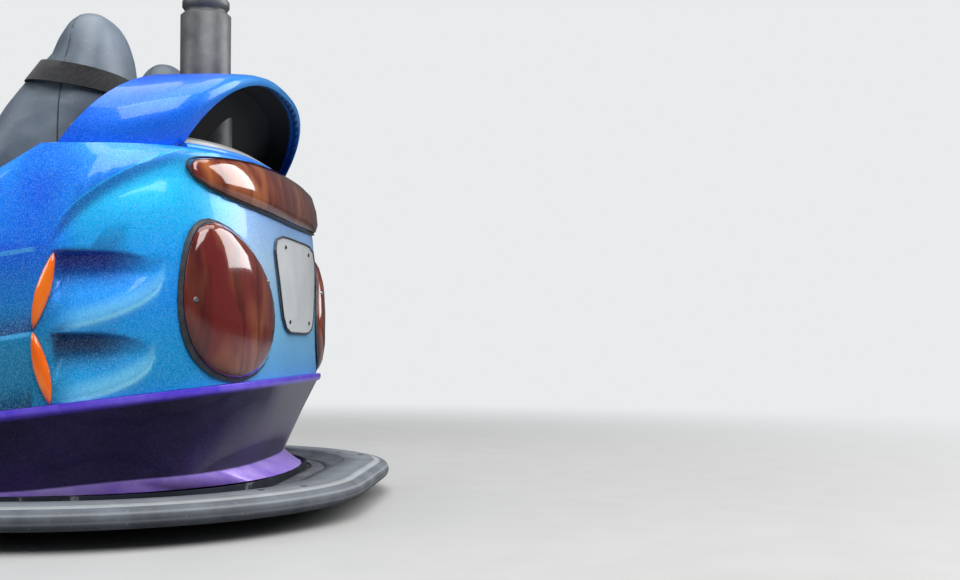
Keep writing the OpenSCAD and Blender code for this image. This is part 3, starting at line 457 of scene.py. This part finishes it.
def crease_tone_and_shadow_line(tree, at, colour):
    """Royal blue above the crease, whose height follows how far back it has run, and a line of painted shadow
    under it.
    """
    front, rear, foot, rise = -0.545, -0.72, 0.437, 0.153
    run = add(tree, "MapRange", {"Value": at.outputs["Y"], "From Min": front, "From Max": rear})
    bend = add(tree, "Math", {0: run.outputs[0], 1: 0.6}, operation="POWER")
    crease = add(tree, "Math", {0: bend.outputs[0], 1: rise, 2: foot}, operation="MULTIPLY_ADD")
    above = add(tree, "Math", {0: at.outputs["Z"], 1: crease.outputs[0]}, operation="SUBTRACT")
    over = add(tree, "MapRange", {"Value": above.outputs[0], "From Min": -0.003, "From Max": 0.006,
                                  "To Max": 0.85})
    royal = add(tree, "Mix", {0: over.outputs[0], 6: colour, 7: mottled(tree, 160, "#0060F4", "#008CFC")},
                data_type="RGBA")
    # The dark line under the crease's step is painted shadow.
    line = add(tree, "MapRange", {"Value": above.outputs[0], "From Min": -0.034, "From Max": -0.002,
                                  "To Max": 0.7}, interpolation_type="SMOOTHERSTEP").outputs[0]
    below = add(tree, "Math", {0: above.outputs[0], 1: 0.0}, operation="LESS_THAN").outputs[0]
    for mask in [below, fade(tree, "Y", front, -0.57), fade(tree, "Y", -0.79, -0.70)]:
        line = add(tree, "Math", {0: line, 1: mask}, operation="MULTIPLY").outputs[0]
    return add(tree, "Mix", {0: line, 6: royal.outputs[2], 7: paint("#0A3FB4")}, data_type="RGBA").outputs[2]


def scoop_painted_shade_and_highlights(tree, at, colour):
    """Each scoop with painted shade under its top edge and painted highlights along the ridge at its foot."""
    for (top, foot, tip, end, _), dark, pale in zip(SCOOPS, ["#001494", "#002C5A"], ["#86DCFF", "#8EE2FA"]):
        run = add(tree, "MapRange", {"Value": at.outputs["Y"], "From Min": SCOOP_FRONT, "From Max": end})
        heights = []
        for power, reach in [(TOP_POWER, top - tip), (FOOT_POWER, foot - tip)]:
            curve = add(tree, "Math", {0: run.outputs[0], 1: power}, operation="POWER")
            left = add(tree, "Math", {0: 1.0, 1: curve.outputs[0]}, operation="SUBTRACT")
            bow = add(tree, "Math", {0: left.outputs[0]}, operation="SQRT")
            edge = add(tree, "Math", {0: bow.outputs[0], 1: reach, 2: tip}, operation="MULTIPLY_ADD")
            height = add(tree, "Math", {0: at.outputs["Z"], 1: edge.outputs[0]}, operation="SUBTRACT")
            heights.append(height.outputs[0])
        over_top, over_foot = heights
        # Painted shade in a band under the scoop's top edge.
        shade = add(tree, "MapRange", {"Value": over_top, "From Min": 0.002, "From Max": -0.003}).outputs[0]
        depth = add(tree, "MapRange", {"Value": over_top, "From Min": -0.070, "From Max": -0.014},
                    interpolation_type="SMOOTHSTEP").outputs[0]
        for mask in [depth, fade(tree, "Y", -0.550, -0.556), fade(tree, "Y", end, end + 0.09)]:
            shade = add(tree, "Math", {0: shade, 1: mask}, operation="MULTIPLY").outputs[0]
        colour = add(tree, "Mix", {0: shade, 6: colour, 7: paint(dark)}, data_type="RGBA").outputs[2]
        # Painted highlights: a line along the ridge at the scoop's foot and a fainter streak just above it.
        for lift, width, share in [(0.0, 0.007, 0.8), (0.010, 0.026, 0.5)]:
            off = add(tree, "Math", {0: over_foot, 1: lift}, operation="SUBTRACT")
            off = add(tree, "Math", {0: off.outputs[0]}, operation="ABSOLUTE")
            ridge = add(tree, "MapRange", {"Value": off.outputs[0], "From Min": width, "From Max": 0.0,
                                           "To Max": share}, interpolation_type="SMOOTHSTEP").outputs[0]
            for mask in [fade(tree, "Y", -0.553, -0.610), fade(tree, "Y", end - 0.006, end + 0.004)]:
                ridge = add(tree, "Math", {0: ridge, 1: mask}, operation="MULTIPLY").outputs[0]
            colour = add(tree, "Mix", {0: ridge, 6: colour, 7: paint(pale)}, data_type="RGBA").outputs[2]
    return colour


def lobe_painted_shade_and_highlights(tree, at, colour):
    """Each lobe ahead of the side lamps with painted shade towards its foot and a thin painted highlight
    along its top.
    """
    fall = add(tree, "MapRange", {"Value": at.outputs["Y"], "From Min": -0.522, "From Max": -0.250,
                                  "To Max": 0.0435})
    raised = add(tree, "Math", {0: at.outputs["Z"], 1: fall.outputs[0]}, operation="ADD").outputs[0]
    ahead = add(tree, "Math", {0: fade(tree, "Y", -0.532, -0.522), 1: fade(tree, "Y", -0.20, -0.42)},
                operation="MULTIPLY").outputs[0]
    # Painted shade towards each lobe's foot and a painted highlight line along its top.
    for top, foot, dark in [(0.430, 0.306, "#06386E"), (0.304, 0.190, "#053A50")]:
        shade = add(tree, "MapRange", {"Value": raised, "From Min": foot + 0.050, "From Max": foot + 0.004},
                    interpolation_type="SMOOTHSTEP").outputs[0]
        own = add(tree, "Math", {0: raised, 1: foot}, operation="GREATER_THAN").outputs[0]
        line = add(tree, "Math", {0: raised, 1: top, 2: 0.0035}, operation="COMPARE").outputs[0]
        for mask in [own, ahead]:
            shade = add(tree, "Math", {0: shade, 1: mask}, operation="MULTIPLY").outputs[0]
        for mask in [ahead, 0.6]:
            line = add(tree, "Math", {0: line, 1: mask}, operation="MULTIPLY").outputs[0]
        for share, tone in [(shade, dark), (line, "#4FB4EC")]:
            colour = add(tree, "Mix", {0: share, 6: colour, 7: paint(tone)}, data_type="RGBA").outputs[2]
    return colour


def blue_flake_gelcoat_and_painted_light(tree):
    """Flake lacquer in fades that are partly painted light, with painted shade and highlights at the crease,
    scoops and lobes, and a wet clear coat that has gone slightly hazy.
    """
    at = add(tree, "SeparateXYZ", {"Vector": add(tree, "TexCoord").outputs["Object"]})
    colour = paint_and_light_zones(tree, at)
    # Each layer adds painted light: a painted shadow at the crease, and painted shade and highlights at the
    # scoops and lobes.
    for painted_light_layer in [crease_tone_and_shadow_line, scoop_painted_shade_and_highlights, lobe_painted_shade_and_highlights]:
        colour = painted_light_layer(tree, at, colour)
    cloudy = add(tree, "Mix", {0: 0.3, 6: colour, 7: mottled(tree, 170, "#DCDCDC", "#FFFFFF")},
                 data_type="RGBA", blend_type="MULTIPLY")
    return {"Base Color": flaked(tree, cloudy.outputs[2], "#8CD2FF", "#06349C"), "Metallic": 0.2,
            "Roughness": 0.4, "Specular IOR Level": 0.2, "Coat Weight": 0.5, "Coat Roughness": 0.06}


blue = finish(blue_flake_gelcoat_and_painted_light)
for name, node in [("tail_shell", "rear_shell"), ("left_shell", "side_shell_left"),
                   ("right_shell", "side_shell_right"), ("front_shell", "nose_shell")]:
    shell = scooped(cad_copy(node)) if node == "rear_shell" else cad_copy(node)
    piece(name, shell, blue, "car", [node], sharp=24)


# Rim bead
# The tail shell's top edge is rolled into a double bead under the hood's opening.
def tube(points, thick, closed=False, sides=12):
    """A round bead along points, as a bmesh."""
    curve = bpy.data.curves.new("bead", "CURVE")
    curve.dimensions = "3D"
    curve.bevel_depth = thick / 2
    curve.bevel_resolution = sides // 4
    curve.use_fill_caps = not closed
    line = curve.splines.new("POLY")
    line.points.add(len(points) - 1)
    for spot, point in zip(line.points, points):
        spot.co = (*point, 1)
    line.use_cyclic_u = closed
    obj = bpy.data.objects.new("bead", curve)
    scene.collection.objects.link(obj)
    mesh = bpy.data.meshes.new_from_object(obj.evaluated_get(bpy.context.evaluated_depsgraph_get()))
    bpy.data.objects.remove(obj)
    made = bmesh.new()
    made.from_mesh(mesh)
    bmesh.ops.remove_doubles(made, verts=made.verts, dist=1e-6)
    bmesh.ops.recalc_face_normals(made, faces=made.faces)
    return made


def rim_path(out, z, last=0.52, steps=48):
    """Points along the tail's rim, this far outside it, from the hood's left foot to its right foot."""
    half_width, length, start, power = 0.423, 0.300, -0.484, 3.2
    points = []
    for i in range(steps + 1):
        phi = math.radians(90 * last * (2 * i / steps - 1))
        across, back = math.sin(phi), math.cos(phi)
        reach = (abs(across) ** power + abs(back) ** power) ** (-1 / power)
        points.append(((half_width + out) * reach * across, start - (length + out) * reach * back, z))
    return points


for name, out, z, thick in [("rim_bead_upper", 0.000, 0.599, 0.014), ("rim_bead_lower", 0.008, 0.584, 0.010)]:
    piece(name, tube(rim_path(out, z), thick), blue, "car")


# Hood
# A separate moulding in deep blue flake that stands on the rear rim and leans back over the deck.
# Its rear edge is rolled in and carries a painted highlight. The inside is matt near-black, and a black board
# closes it to the front.
def deep_blue_flake_and_lip_highlight(tree):
    """The same flake lacquer in one deep blue, with a lighter, greener painted highlight on the rolled lip.
    """
    # The lighter, greener lip is a painted highlight.
    lip = add(tree, "Mix", {0: fade(tree, "Y", -0.72, -0.80), 6: mottled(tree, 150, "#0050E2", "#006CF4"),
                            7: paint("#1E80CC")}, data_type="RGBA")
    return {"Base Color": flaked(tree, lip.outputs[2], "#6CB8FF", "#06288C"), "Metallic": 0.2,
            "Roughness": 0.4, "Specular IOR Level": 0.2, "Coat Weight": 0.5, "Coat Roughness": 0.06}


def matt_near_black(tree):
    """Near black, with no gloss and a coarse texture."""
    return {"Base Color": mottled(tree, 30, "#08080A", "#121316"), "Roughness": 0.85,
            "Normal": grained(tree, 6, 0.5)}


def blue_lip_and_near_black(tree):
    """The hood's inner face: blue with its painted highlight round the lip, then a short blend to matt
    near-black.
    """
    lean, border = 0.64, -0.302
    at = add(tree, "SeparateXYZ", {"Vector": add(tree, "TexCoord").outputs["Object"]})
    deep = add(tree, "Math", {0: at.outputs["Z"], 1: lean, 2: at.outputs["Y"]}, operation="MULTIPLY_ADD")
    black = add(tree, "MapRange", {"Value": deep.outputs[0], "From Min": border, "From Max": border + 0.006})
    lip, coat = deep_blue_flake_and_lip_highlight(tree), matt_near_black(tree)
    colour = add(tree, "Mix", {0: black.outputs[0], 6: lip["Base Color"], 7: coat["Base Color"]},
                 data_type="RGBA")
    rough = add(tree, "MapRange", {"Value": black.outputs[0], "To Min": 0.38, "To Max": 0.85})
    gloss = add(tree, "MapRange", {"Value": black.outputs[0], "To Min": 0.5, "To Max": 0.0})
    return {"Base Color": colour.outputs[2], "Roughness": rough.outputs[0], "Coat Weight": gloss.outputs[0]}


deep_blue, matt_black = finish(deep_blue_flake_and_lip_highlight), finish(matt_near_black)
rim_height = 0.60
made = cad_copy("hood")
made.normal_update()
for face in made.faces:
    spot = face.calc_center_median()
    inward = face.normal.dot(Vector((spot.x, 0, spot.z - rim_height)).normalized()) < -0.2
    face.material_index = 1 if inward else 0
piece("hood_moulding", made, [deep_blue, finish(blue_lip_and_near_black)], "car", ["hood"])
piece("hood_board", cad_copy("hood_bulkhead"), matt_black, "car", ["hood_bulkhead"])


# Rear deck, cockpit liner and seat box
# Plain light grey gelcoat mouldings, dulled inside the cockpit where shoes and sleeves rub them.
def grey_gelcoat(tree):
    """Unpainted gelcoat: pale grey, half gloss, with scuffs."""
    colour = rubbed(tree, mottled(tree, 120, "#9C9D9B", "#B2B3B0"), "#8A8B88", 30, 0.66)
    return {"Base Color": colour, "Roughness": 0.42, "Coat Weight": 0.3, "Coat Roughness": 0.25,
            "Normal": grained(tree, 5, 0.08)}


grey = finish(grey_gelcoat)
for name, node in [("deck", "rear_deck"), ("liner", "cockpit_liner"), ("bench_box", "seat_box")]:
    piece(name, cad_copy(node), grey, "car", [node])


# Deck kerb
# A rounded kerb moulded on the deck just inside the rim bead keeps rain off the mast's socket.
piece("deck_kerb", tube(rim_path(-0.024, 0.607), 0.026), grey, "car")


# Cockpit floor and pedal
# Aluminium tread plate with raised diamonds, scuffed by shoes. The pedal is cut from the same plate.
def tread_plate(tree):
    """Rolled aluminium: grey metal with diamonds 22 mm across that stand 0.8 mm high."""
    diamond, height = 0.022, 0.0008
    at = add(tree, "TexCoord").outputs["Object"]
    turned = add(tree, "Mapping", {"Vector": at, "Rotation": (0, 0, math.radians(45)),
                                   "Scale": (1 / diamond, 1 / diamond, 1)})
    checks = add(tree, "TexChecker", {"Vector": turned.outputs[0], "Scale": 1.0})
    raised = add(tree, "Bump", {"Height": checks.outputs["Fac"], "Distance": height, "Strength": 1.0})
    return {"Base Color": mottled(tree, 40, "#8C8D8E", "#A7A8A8"), "Metallic": 1.0, "Roughness": 0.45,
            "Normal": raised.outputs[0]}


tread = finish(tread_plate)
piece("floor_plate", cad_copy("cockpit_floor"), tread, "car", ["cockpit_floor"])
piece("pedal", cad_copy("foot_pedal"), tread, "car", ["foot_pedal"])


# Dash roll
# Foam under black grained vinyl along the front rim of the cockpit.
def rounded(made, levels, sharp=32):
    """Joins the triangles to quads and rounds the form with Catmull-Clark, with its sharp edges kept."""
    bmesh.ops.join_triangles(made, faces=made.faces, angle_face_threshold=math.radians(40),
                             angle_shape_threshold=math.radians(70), cmp_sharp=False)
    crease = made.edges.layers.float.get("crease_edge") or made.edges.layers.float.new("crease_edge")
    for edge in made.edges:
        if len(edge.link_faces) != 2 or edge.calc_face_angle() > math.radians(sharp):
            edge[crease] = 1.0
    mesh = bpy.data.meshes.new("rounding")
    made.to_mesh(mesh)
    made.free()
    obj = bpy.data.objects.new("rounding", mesh)
    scene.collection.objects.link(obj)
    smoothing = obj.modifiers.new("smoothing", "SUBSURF")
    smoothing.levels = smoothing.render_levels = levels
    smoothing.use_limit_surface = False
    result = bpy.data.meshes.new_from_object(obj.evaluated_get(bpy.context.evaluated_depsgraph_get()))
    bpy.data.objects.remove(obj)
    made = bmesh.new()
    made.from_mesh(result)
    return made


def black_vinyl(tree):
    """Coated cloth with a leather grain: soft dark sheen."""
    return {"Base Color": mottled(tree, 60, "#141417", "#1E1E22"), "Roughness": 0.5,
            "Normal": grained(tree, 1.6, 0.25)}


roll = piece("dash_roll", rounded(cad_copy("dash_cowl"), 2, 60), finish(black_vinyl), "car",
             ["dash_cowl"])


# Seats
# A bench cushion and two high backs, foam under grey grained vinyl. Each back has a sewn seam over its
# head and down both sides, and the vinyl is rubbed paler in patches.
def grey_vinyl(tree):
    """Coated cloth in grey, with leather grain, pale rubbed patches and a dull sheen."""
    soft = rubbed(tree, mottled(tree, 150, "#475260", "#68747F"), "#8A949C", 14, 0.64)
    folds_mm, fold_depth = 111, 0.006
    at = add(tree, "TexCoord").outputs["Object"]
    folds = add(tree, "TexNoise", {"Vector": at, "Scale": 1000 / folds_mm, "Detail": 2.0})
    soft_folds = add(tree, "Bump", {"Height": folds.outputs["Fac"], "Distance": fold_depth, "Strength": 0.6})
    return {"Base Color": soft, "Roughness": 0.46, "Normal": grained(tree, 1.8, 0.25, soft_folds.outputs[0])}


def stuffed(node, inset, longest, voxel=0.007, frames=20):
    """Foam under a tight cover: the CAD solid drawn in, remeshed and blown up with cloth pressure."""
    even = {"factor": 0.5, "use_axis_x": True, "use_axis_y": True, "use_axis_z": True}
    made = cad_copy(node)
    mesh = bpy.data.meshes.new("stuffing")
    made.to_mesh(mesh)
    made.free()
    obj = bpy.data.objects.new("stuffing", mesh)
    scene.collection.objects.link(obj)
    remesh = obj.modifiers.new("remesh", "REMESH")
    remesh.mode, remesh.voxel_size = "VOXEL", voxel
    mesh = bpy.data.meshes.new_from_object(obj.evaluated_get(bpy.context.evaluated_depsgraph_get()))
    obj.modifiers.clear()
    made = bmesh.new()
    made.from_mesh(mesh)
    for _ in range(6):
        bmesh.ops.smooth_vert(made, verts=made.verts, **even)
    made.normal_update()
    for v in made.verts:
        v.co -= v.normal * inset
    made.to_mesh(mesh)
    made.free()
    obj.data = mesh
    cloth = obj.modifiers.new("cloth", "CLOTH")
    cloth.settings.use_pressure = True
    cloth.settings.uniform_pressure_force = 4
    cloth.settings.effector_weights.gravity = 0
    cloth.settings.quality = 5
    cloth.point_cache.frame_start, cloth.point_cache.frame_end = 1, frames
    for step in range(1, frames + 1):
        scene.frame_set(step)
    blown = bpy.data.meshes.new_from_object(obj.evaluated_get(bpy.context.evaluated_depsgraph_get()))
    for start, end in zip(mesh.vertices, blown.vertices):
        move = end.co - start.co
        if move.length > longest:
            end.co = start.co + move * (longest / move.length)
    scene.frame_set(1)
    mesh = blown
    bpy.data.objects.remove(obj)
    made = bmesh.new()
    made.from_mesh(mesh)
    bmesh.ops.smooth_vert(made, verts=made.verts, **even)
    return made


vinyl = finish(grey_vinyl)
foam_inset, longest_move = 0.004, 0.008
pads = {}
for name, node in [("bench_pad", "bench_cushion"), ("left_back_pad", "seat_back_left"),
                   ("right_back_pad", "seat_back_right")]:
    foam = stuffed(node, foam_inset, longest_move)
    pads[name] = piece(name, foam, vinyl, "car", [node], sharp=60)


def seam_thread(tree):
    """Sewn edge of the vinyl: a dark line a few millimetres wide."""
    return {"Base Color": mottled(tree, 6, "#2A2B2D", "#3A3B3D"), "Roughness": 0.7}


seam = finish(seam_thread)
for side, pad in [("left", pads["left_back_pad"]), ("right", pads["right_back_pad"])]:
    x = sum(v.co.x for v in pad.data.vertices) / len(pad.data.vertices)
    heart, seam_y, seam_foot, ray = Vector((x, -0.50, 0.62)), -0.535, 0.34, 0.9
    made = bmesh.new()
    made.from_mesh(pad.data)
    cover = BVHTree.FromBMesh(made)
    made.free()
    points = []
    first, swing, steps = math.radians(-62), math.radians(304), 60
    for step in range(steps + 1):
        angle = first + swing * step / steps
        origin = Vector((x + ray * math.cos(angle), seam_y, heart.z + ray * math.sin(angle)))
        spot, normal, _, _ = cover.ray_cast(origin, heart - origin)
        if spot and spot.z > seam_foot:
            points.append(spot - normal * 0.0006)
    piece(f"{side}_back_seam", tube(points, 0.003, sides=8), seam, "car")


# Straps round the seat backs
# Flat woven polyester webbing, black-grey and matt.
# Each strap is sewn into a loop and pulled tight.

# At a scale of 1 the wave texture repeats every 314 mm.
WAVE_MM = 314


def webbing(tree):
    """Woven polyester: matt black-grey with ribs 2 mm apart across its width."""
    rib_mm, rib_height = 2, 0.0004
    at = add(tree, "TexCoord").outputs["Object"]
    ribs = add(tree, "TexWave", {"Vector": at, "Scale": WAVE_MM / rib_mm}, wave_type="BANDS",
               bands_direction="Z")
    lift = add(tree, "Bump", {"Height": ribs.outputs["Fac"], "Distance": rib_height, "Strength": 1.0})
    return {"Base Color": mottled(tree, 7, "#161617", "#262628"), "Roughness": 0.85, "Sheen Weight": 0.15,
            "Normal": lift.outputs[0]}


strap_finish = finish(webbing)
for name, node in [("left_strap", "strap_left"), ("right_strap", "strap_right")]:
    piece(name, rounded(cad_copy(node), 1, 50), strap_finish, "car", [node])


# Steering column and wheel
# The column is a steel tube in black enamel. The wheel is moulded black plastic on a steel shaft, with a
# plain round cap over its nut and three small screws round the cap.
def black_enamel(tree):
    """Sprayed enamel on steel: black gloss, chipped to primer on the corners."""
    return {"Base Color": rubbed(tree, paint("#1B1B1D"), "#5A5855", 18, 0.64), "Metallic": 0.1,
            "Roughness": 0.38, "Normal": grained(tree, 3, 0.06)}


def moulded_black_plastic(tree):
    """Textured ABS: black with a fine spark grain."""
    return {"Base Color": mottled(tree, 25, "#111113", "#19191B"), "Roughness": 0.42,
            "Normal": grained(tree, 1.2, 0.12)}


enamel, plastic = finish(black_enamel), finish(moulded_black_plastic)
piece("column", cad_copy("steering_column"), enamel, "car", ["steering_column"])
piece("wheel", cad_copy("steering_wheel"), plastic, "steering_wheel", ["steering_wheel"])
low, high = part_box("steering_wheel")
rake, cap_radius, screw_circle = math.radians(38), 0.026, 0.032
axis = Vector((0, -math.sin(rake), math.cos(rake)))
boss = BVHTree.FromBMesh(cad_copy("steering_wheel"))
spot = boss.ray_cast((low + high) / 2 + axis * 0.3, -axis)[0]
made = bmesh.new()
fastener(made, spot, axis, cap_radius, 0.006, sides=32, taper=0.75)
piece("wheel_cap", made, plastic, "steering_wheel")
made = bmesh.new()
for turn in [math.radians(30), math.radians(150), math.radians(270)]:
    arm = Vector((math.cos(turn), math.sin(turn) * math.cos(rake), math.sin(turn) * math.sin(rake)))
    fastener(made, spot + arm * screw_circle, axis, 0.003, 0.002, sides=12, taper=0.7)
piece("wheel_screws", made, zinc, "steering_wheel")


# Drive unit
# A turntable and fork in black enamel, with the motor on the fork's side and a solid rubber tyre.
# The motor's case has turned cooling fins.
def machined_steel(tree):
    """Turned steel: mid grey metal with a film of grease."""
    return {"Base Color": mottled(tree, 20, "#7E7D7A", "#9A9996"), "Metallic": 1.0, "Roughness": 0.35}


def solid_tyre_rubber(tree):
    """Cast rubber: near black, dusty on the tread."""
    return {"Base Color": mottled(tree, 25, "#1A1A1B", "#2E2D2C"), "Roughness": 0.85,
            "Normal": grained(tree, 1.5, 0.2)}


steel, tyre = finish(machined_steel), finish(solid_tyre_rubber)
piece("race", cad_copy("drive_race"), steel, "car", ["drive_race"])
piece("turntable", cad_copy("drive_unit"), enamel, "drive_unit", ["drive_unit"])
piece("motor", cad_copy("drive_motor"), enamel, "drive_unit", ["drive_motor"])
low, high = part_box("drive_motor")
middle, first_fin, fin_pitch = (low + high) / 2, 0.078, 0.010
made = bmesh.new()
for count in range(6):
    fastener(made, (first_fin + count * fin_pitch, middle.y, middle.z), (1, 0, 0), 0.052, 0.002, sides=48)
piece("motor_fins", made, enamel, "drive_unit")
piece("drive_wheel_hub", cad_copy("drive_hub"), steel, "drive_wheel", ["drive_hub"])
piece("drive_wheel_tyre", cad_copy("drive_tyre"), tyre, "drive_wheel", ["drive_tyre"])


# Rear axle and wheels
# A box beam with a turned steel axle, and plain steel hubs with solid rubber tyres.
piece("axle", cad_copy("rear_axle"), steel, "car", ["rear_axle"])
for side in ["left", "right"]:
    piece(f"{side}_hub", cad_copy(f"rear_hub_{side}"), steel, f"rear_wheel_{side}",
          [f"rear_hub_{side}"])
    piece(f"{side}_tyre", cad_copy(f"rear_tyre_{side}"), tyre, f"rear_wheel_{side}",
          [f"rear_tyre_{side}"])


# Mast
# A steel tube in coral enamel stands in a black socket. A ribbed rubber sleeve covers its lower part, and a
# rubber boot seals the tube where it passes the hood's board.
# The collector head, with its curved contact shoe, is cast brass.
def coral_enamel(tree):
    """Gloss enamel on tube: coral red, chipped brown, and black from the sleeve down."""
    colour = add(tree, "Mix", {0: fade(tree, "Z", 1.20, 1.202), 6: paint("#232324"), 7: paint("#B42C1C")},
                 data_type="RGBA")
    return {"Base Color": rubbed(tree, colour.outputs[2], "#8A4A3E", 16, 0.66), "Roughness": 0.35,
            "Coat Weight": 0.4, "Coat Roughness": 0.15}


def sleeve_rubber(tree):
    """Extruded rubber: dark grey with a dull bloom and a satin highlight."""
    colour = rubbed(tree, mottled(tree, 40, "#414244", "#5B5C5E"), "#85867F", 9, 0.68)
    return {"Base Color": colour, "Roughness": 0.42, "Normal": grained(tree, 2.4, 0.15)}


def worn_brass(tree):
    """Cast brass: yellow metal, brown with arcing."""
    return {"Base Color": mottled(tree, 25, "#8F6F35", "#C39A55"), "Metallic": 1.0, "Roughness": 0.35}


rubber_sleeve = finish(sleeve_rubber)
piece("socket", cad_copy("mast_socket"), enamel, "car", ["mast_socket"])
piece("pole", cad_copy("mast_pole"), finish(coral_enamel), "car", ["mast_pole"])
boot_middle, boot_height, outer_radius, inner_radius = Vector((0, -0.655, 0.662)), 0.130, 0.0492, 0.0382
made = bmesh.new()
for radius in [outer_radius, inner_radius]:
    bmesh.ops.create_cone(made, cap_ends=False, segments=48, radius1=radius, radius2=radius,
                          depth=boot_height, matrix=Matrix.Translation(boot_middle))
for end in [1, -1]:
    bmesh.ops.bridge_loops(made, edges=[
        e for e in made.edges
        if e.is_boundary and (e.verts[0].co.z + e.verts[1].co.z - 2 * boot_middle.z) * end > 0])
bmesh.ops.recalc_face_normals(made, faces=made.faces)
piece("mast_boot", made, rubber_sleeve, "car")
piece("sleeve", cad_copy("mast_sleeve"), rubber_sleeve, "car", ["mast_sleeve"])
piece("collector", cad_copy("collector_head"), finish(worn_brass), "car", ["collector_head"])


# Tail, brake, side and front lamps
# Moulded acrylic lenses with upright wavy flutes on their inside. Those at the tail are bedded in rubber
# gaskets and held by small screws at the edge.
def lens(name, deep, middle, bright, flute_mm, lines=0.5):
    """A moulded lens: soft patches of two tones and thin dark wavy flutes behind a polished outer face."""
    patch_mm, bend_mm, bend = 62.5, 71.4, 0.09

    def tone(tree):
        at = add(tree, "TexCoord").outputs["Object"]
        drawn = add(tree, "Mapping", {"Vector": at, "Scale": (1, 1, 0.4)})
        patch = add(tree, "TexNoise", {"Vector": drawn.outputs[0], "Scale": 1000 / patch_mm, "Detail": 2.0,
                                       "Distortion": 0.8})
        glow = add(tree, "MapRange", {"Value": patch.outputs["Fac"], "From Min": 0.42, "From Max": 0.64})
        light = add(tree, "Mix", {0: glow.outputs[0], 6: paint(middle), 7: paint(bright)}, data_type="RGBA")
        bent = add(tree, "TexNoise", {"Vector": drawn.outputs[0], "Scale": 1000 / bend_mm, "Detail": 1.0})
        moved = add(tree, "VectorMath", {0: bent.outputs["Color"], "Scale": bend}, operation="SCALE")
        wavy = add(tree, "VectorMath", {0: drawn.outputs[0], 1: moved.outputs[0]}, operation="ADD")
        flutes = add(tree, "TexWave", {"Vector": wavy.outputs[0], "Scale": WAVE_MM / flute_mm},
                     wave_type="BANDS", bands_direction="X")
        line = add(tree, "MapRange", {"Value": flutes.outputs["Fac"], "From Min": 0.0, "From Max": 0.09,
                                      "To Min": 1 - lines})
        tones = add(tree, "Mix", {0: line.outputs[0], 6: paint(deep), 7: light.outputs[2]}, data_type="RGBA")
        return {"Base Color": tones.outputs[2], "Roughness": 0.12, "Coat Weight": 1.0, "Coat Roughness": 0.02}
    tone.__name__ = name
    return finish(tone)


def gasket_rubber(tree):
    """Extruded rubber: black, half matt."""
    return {"Base Color": mottled(tree, 12, "#20252A", "#363C43"), "Roughness": 0.5}


red_lens = lens("red_acrylic", "#2E0A0D", "#66211F", "#84472E", 60)
amber_lens = lens("amber_acrylic", "#3C0F0C", "#6E2A20", "#A05C34", 75, 0.3)
orange_lens = lens("orange_acrylic", "#E2520A", "#F2640E", "#FF8420", 30, 0.2)
clear_lens = lens("clear_acrylic", "#B9BDBE", "#D2D5D6", "#E6E8E8", 12)
gasket = finish(gasket_rubber)
for name, node, material, slot in [
    ("left_tail_lens", "tail_lamp_left", red_lens, "red_lens"),
    ("right_tail_lens", "tail_lamp_right", red_lens, "red_lens"),
    ("brake_lens", "brake_lamp", amber_lens, "amber_lens"),
    ("side_lenses", "side_lamps", orange_lens, "orange_lens"),
    ("front_lenses", "headlamps", clear_lens, "clear_lens"),
    ("tail_gasket_rings", "tail_gaskets", gasket, "black_rubber"),
    ("brake_gasket_ring", "brake_gasket", gasket, "black_rubber"),
]:
    piece(name, cad_copy(node), material, "car", [node], sharp=50)

made = bmesh.new()
for node, places in [
    ("tail_lamp_left", [(-0.60, -0.60, 0.34), (-0.12, -0.85, 0.50)]),
    ("tail_lamp_right", [(0.60, -0.60, 0.34), (0.12, -0.85, 0.50)]),
    ("brake_lamp", [(-0.70, -0.60, 0.56), (0.70, -0.60, 0.56)]),
]:
    face = BVHTree.FromBMesh(cad_copy(node))
    low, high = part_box(node)
    for place in places:
        edge = face.find_nearest(Vector(place))[0]
        inward = ((low + high) / 2 - edge).normalized() * 0.010
        spot, normal, _, _ = face.find_nearest(edge + inward + Vector((0, -0.01, 0)))
        fastener(made, spot, normal, 0.0045, 0.0025, sides=16, taper=0.7)
piece("lens_screws", made, zinc, "car")


# Number plate
# A blank panel of white acrylic on the tail, with a thin dark bead round its edge.
# A screw at each corner holds it to the shell.
def white_acrylic(tree):
    """Cast acrylic: clean white with a polished face."""
    return {"Base Color": mottled(tree, 90, "#E4E8EA", "#F4F6F6"), "Roughness": 0.12, "Coat Weight": 1.0,
            "Coat Roughness": 0.03}


made = cad_copy("number_plate")
made.normal_update()
rim = [e for e in made.edges if sum(f.normal.y < -0.8 for f in e.link_faces) == 1]
at = rim[0].verts[0]
outline = []
while rim:
    step = next(e for e in rim if at in e.verts)
    rim.remove(step)
    outline.append(at.co.copy())
    at = step.other_vert(at)
made.free()
piece("plate_edging", tube(outline, 0.004, closed=True, sides=8), gasket, "car")
plate = cad_copy("number_plate")
face = BVHTree.FromBMesh(plate)
piece("blank_plate", plate, finish(white_acrylic), "car", ["number_plate"])
made = bmesh.new()
for x, z in [(-0.105, 0.458), (0.105, 0.458), (-0.088, 0.328), (0.088, 0.328)]:
    spot, normal, _, _ = face.ray_cast(Vector((x, -1.2, z)), Vector((0, 1, 0)))
    fastener(made, spot, normal, 0.004, 0.0025, sides=16, taper=0.7)
piece("plate_screws", made, enamel, "car")
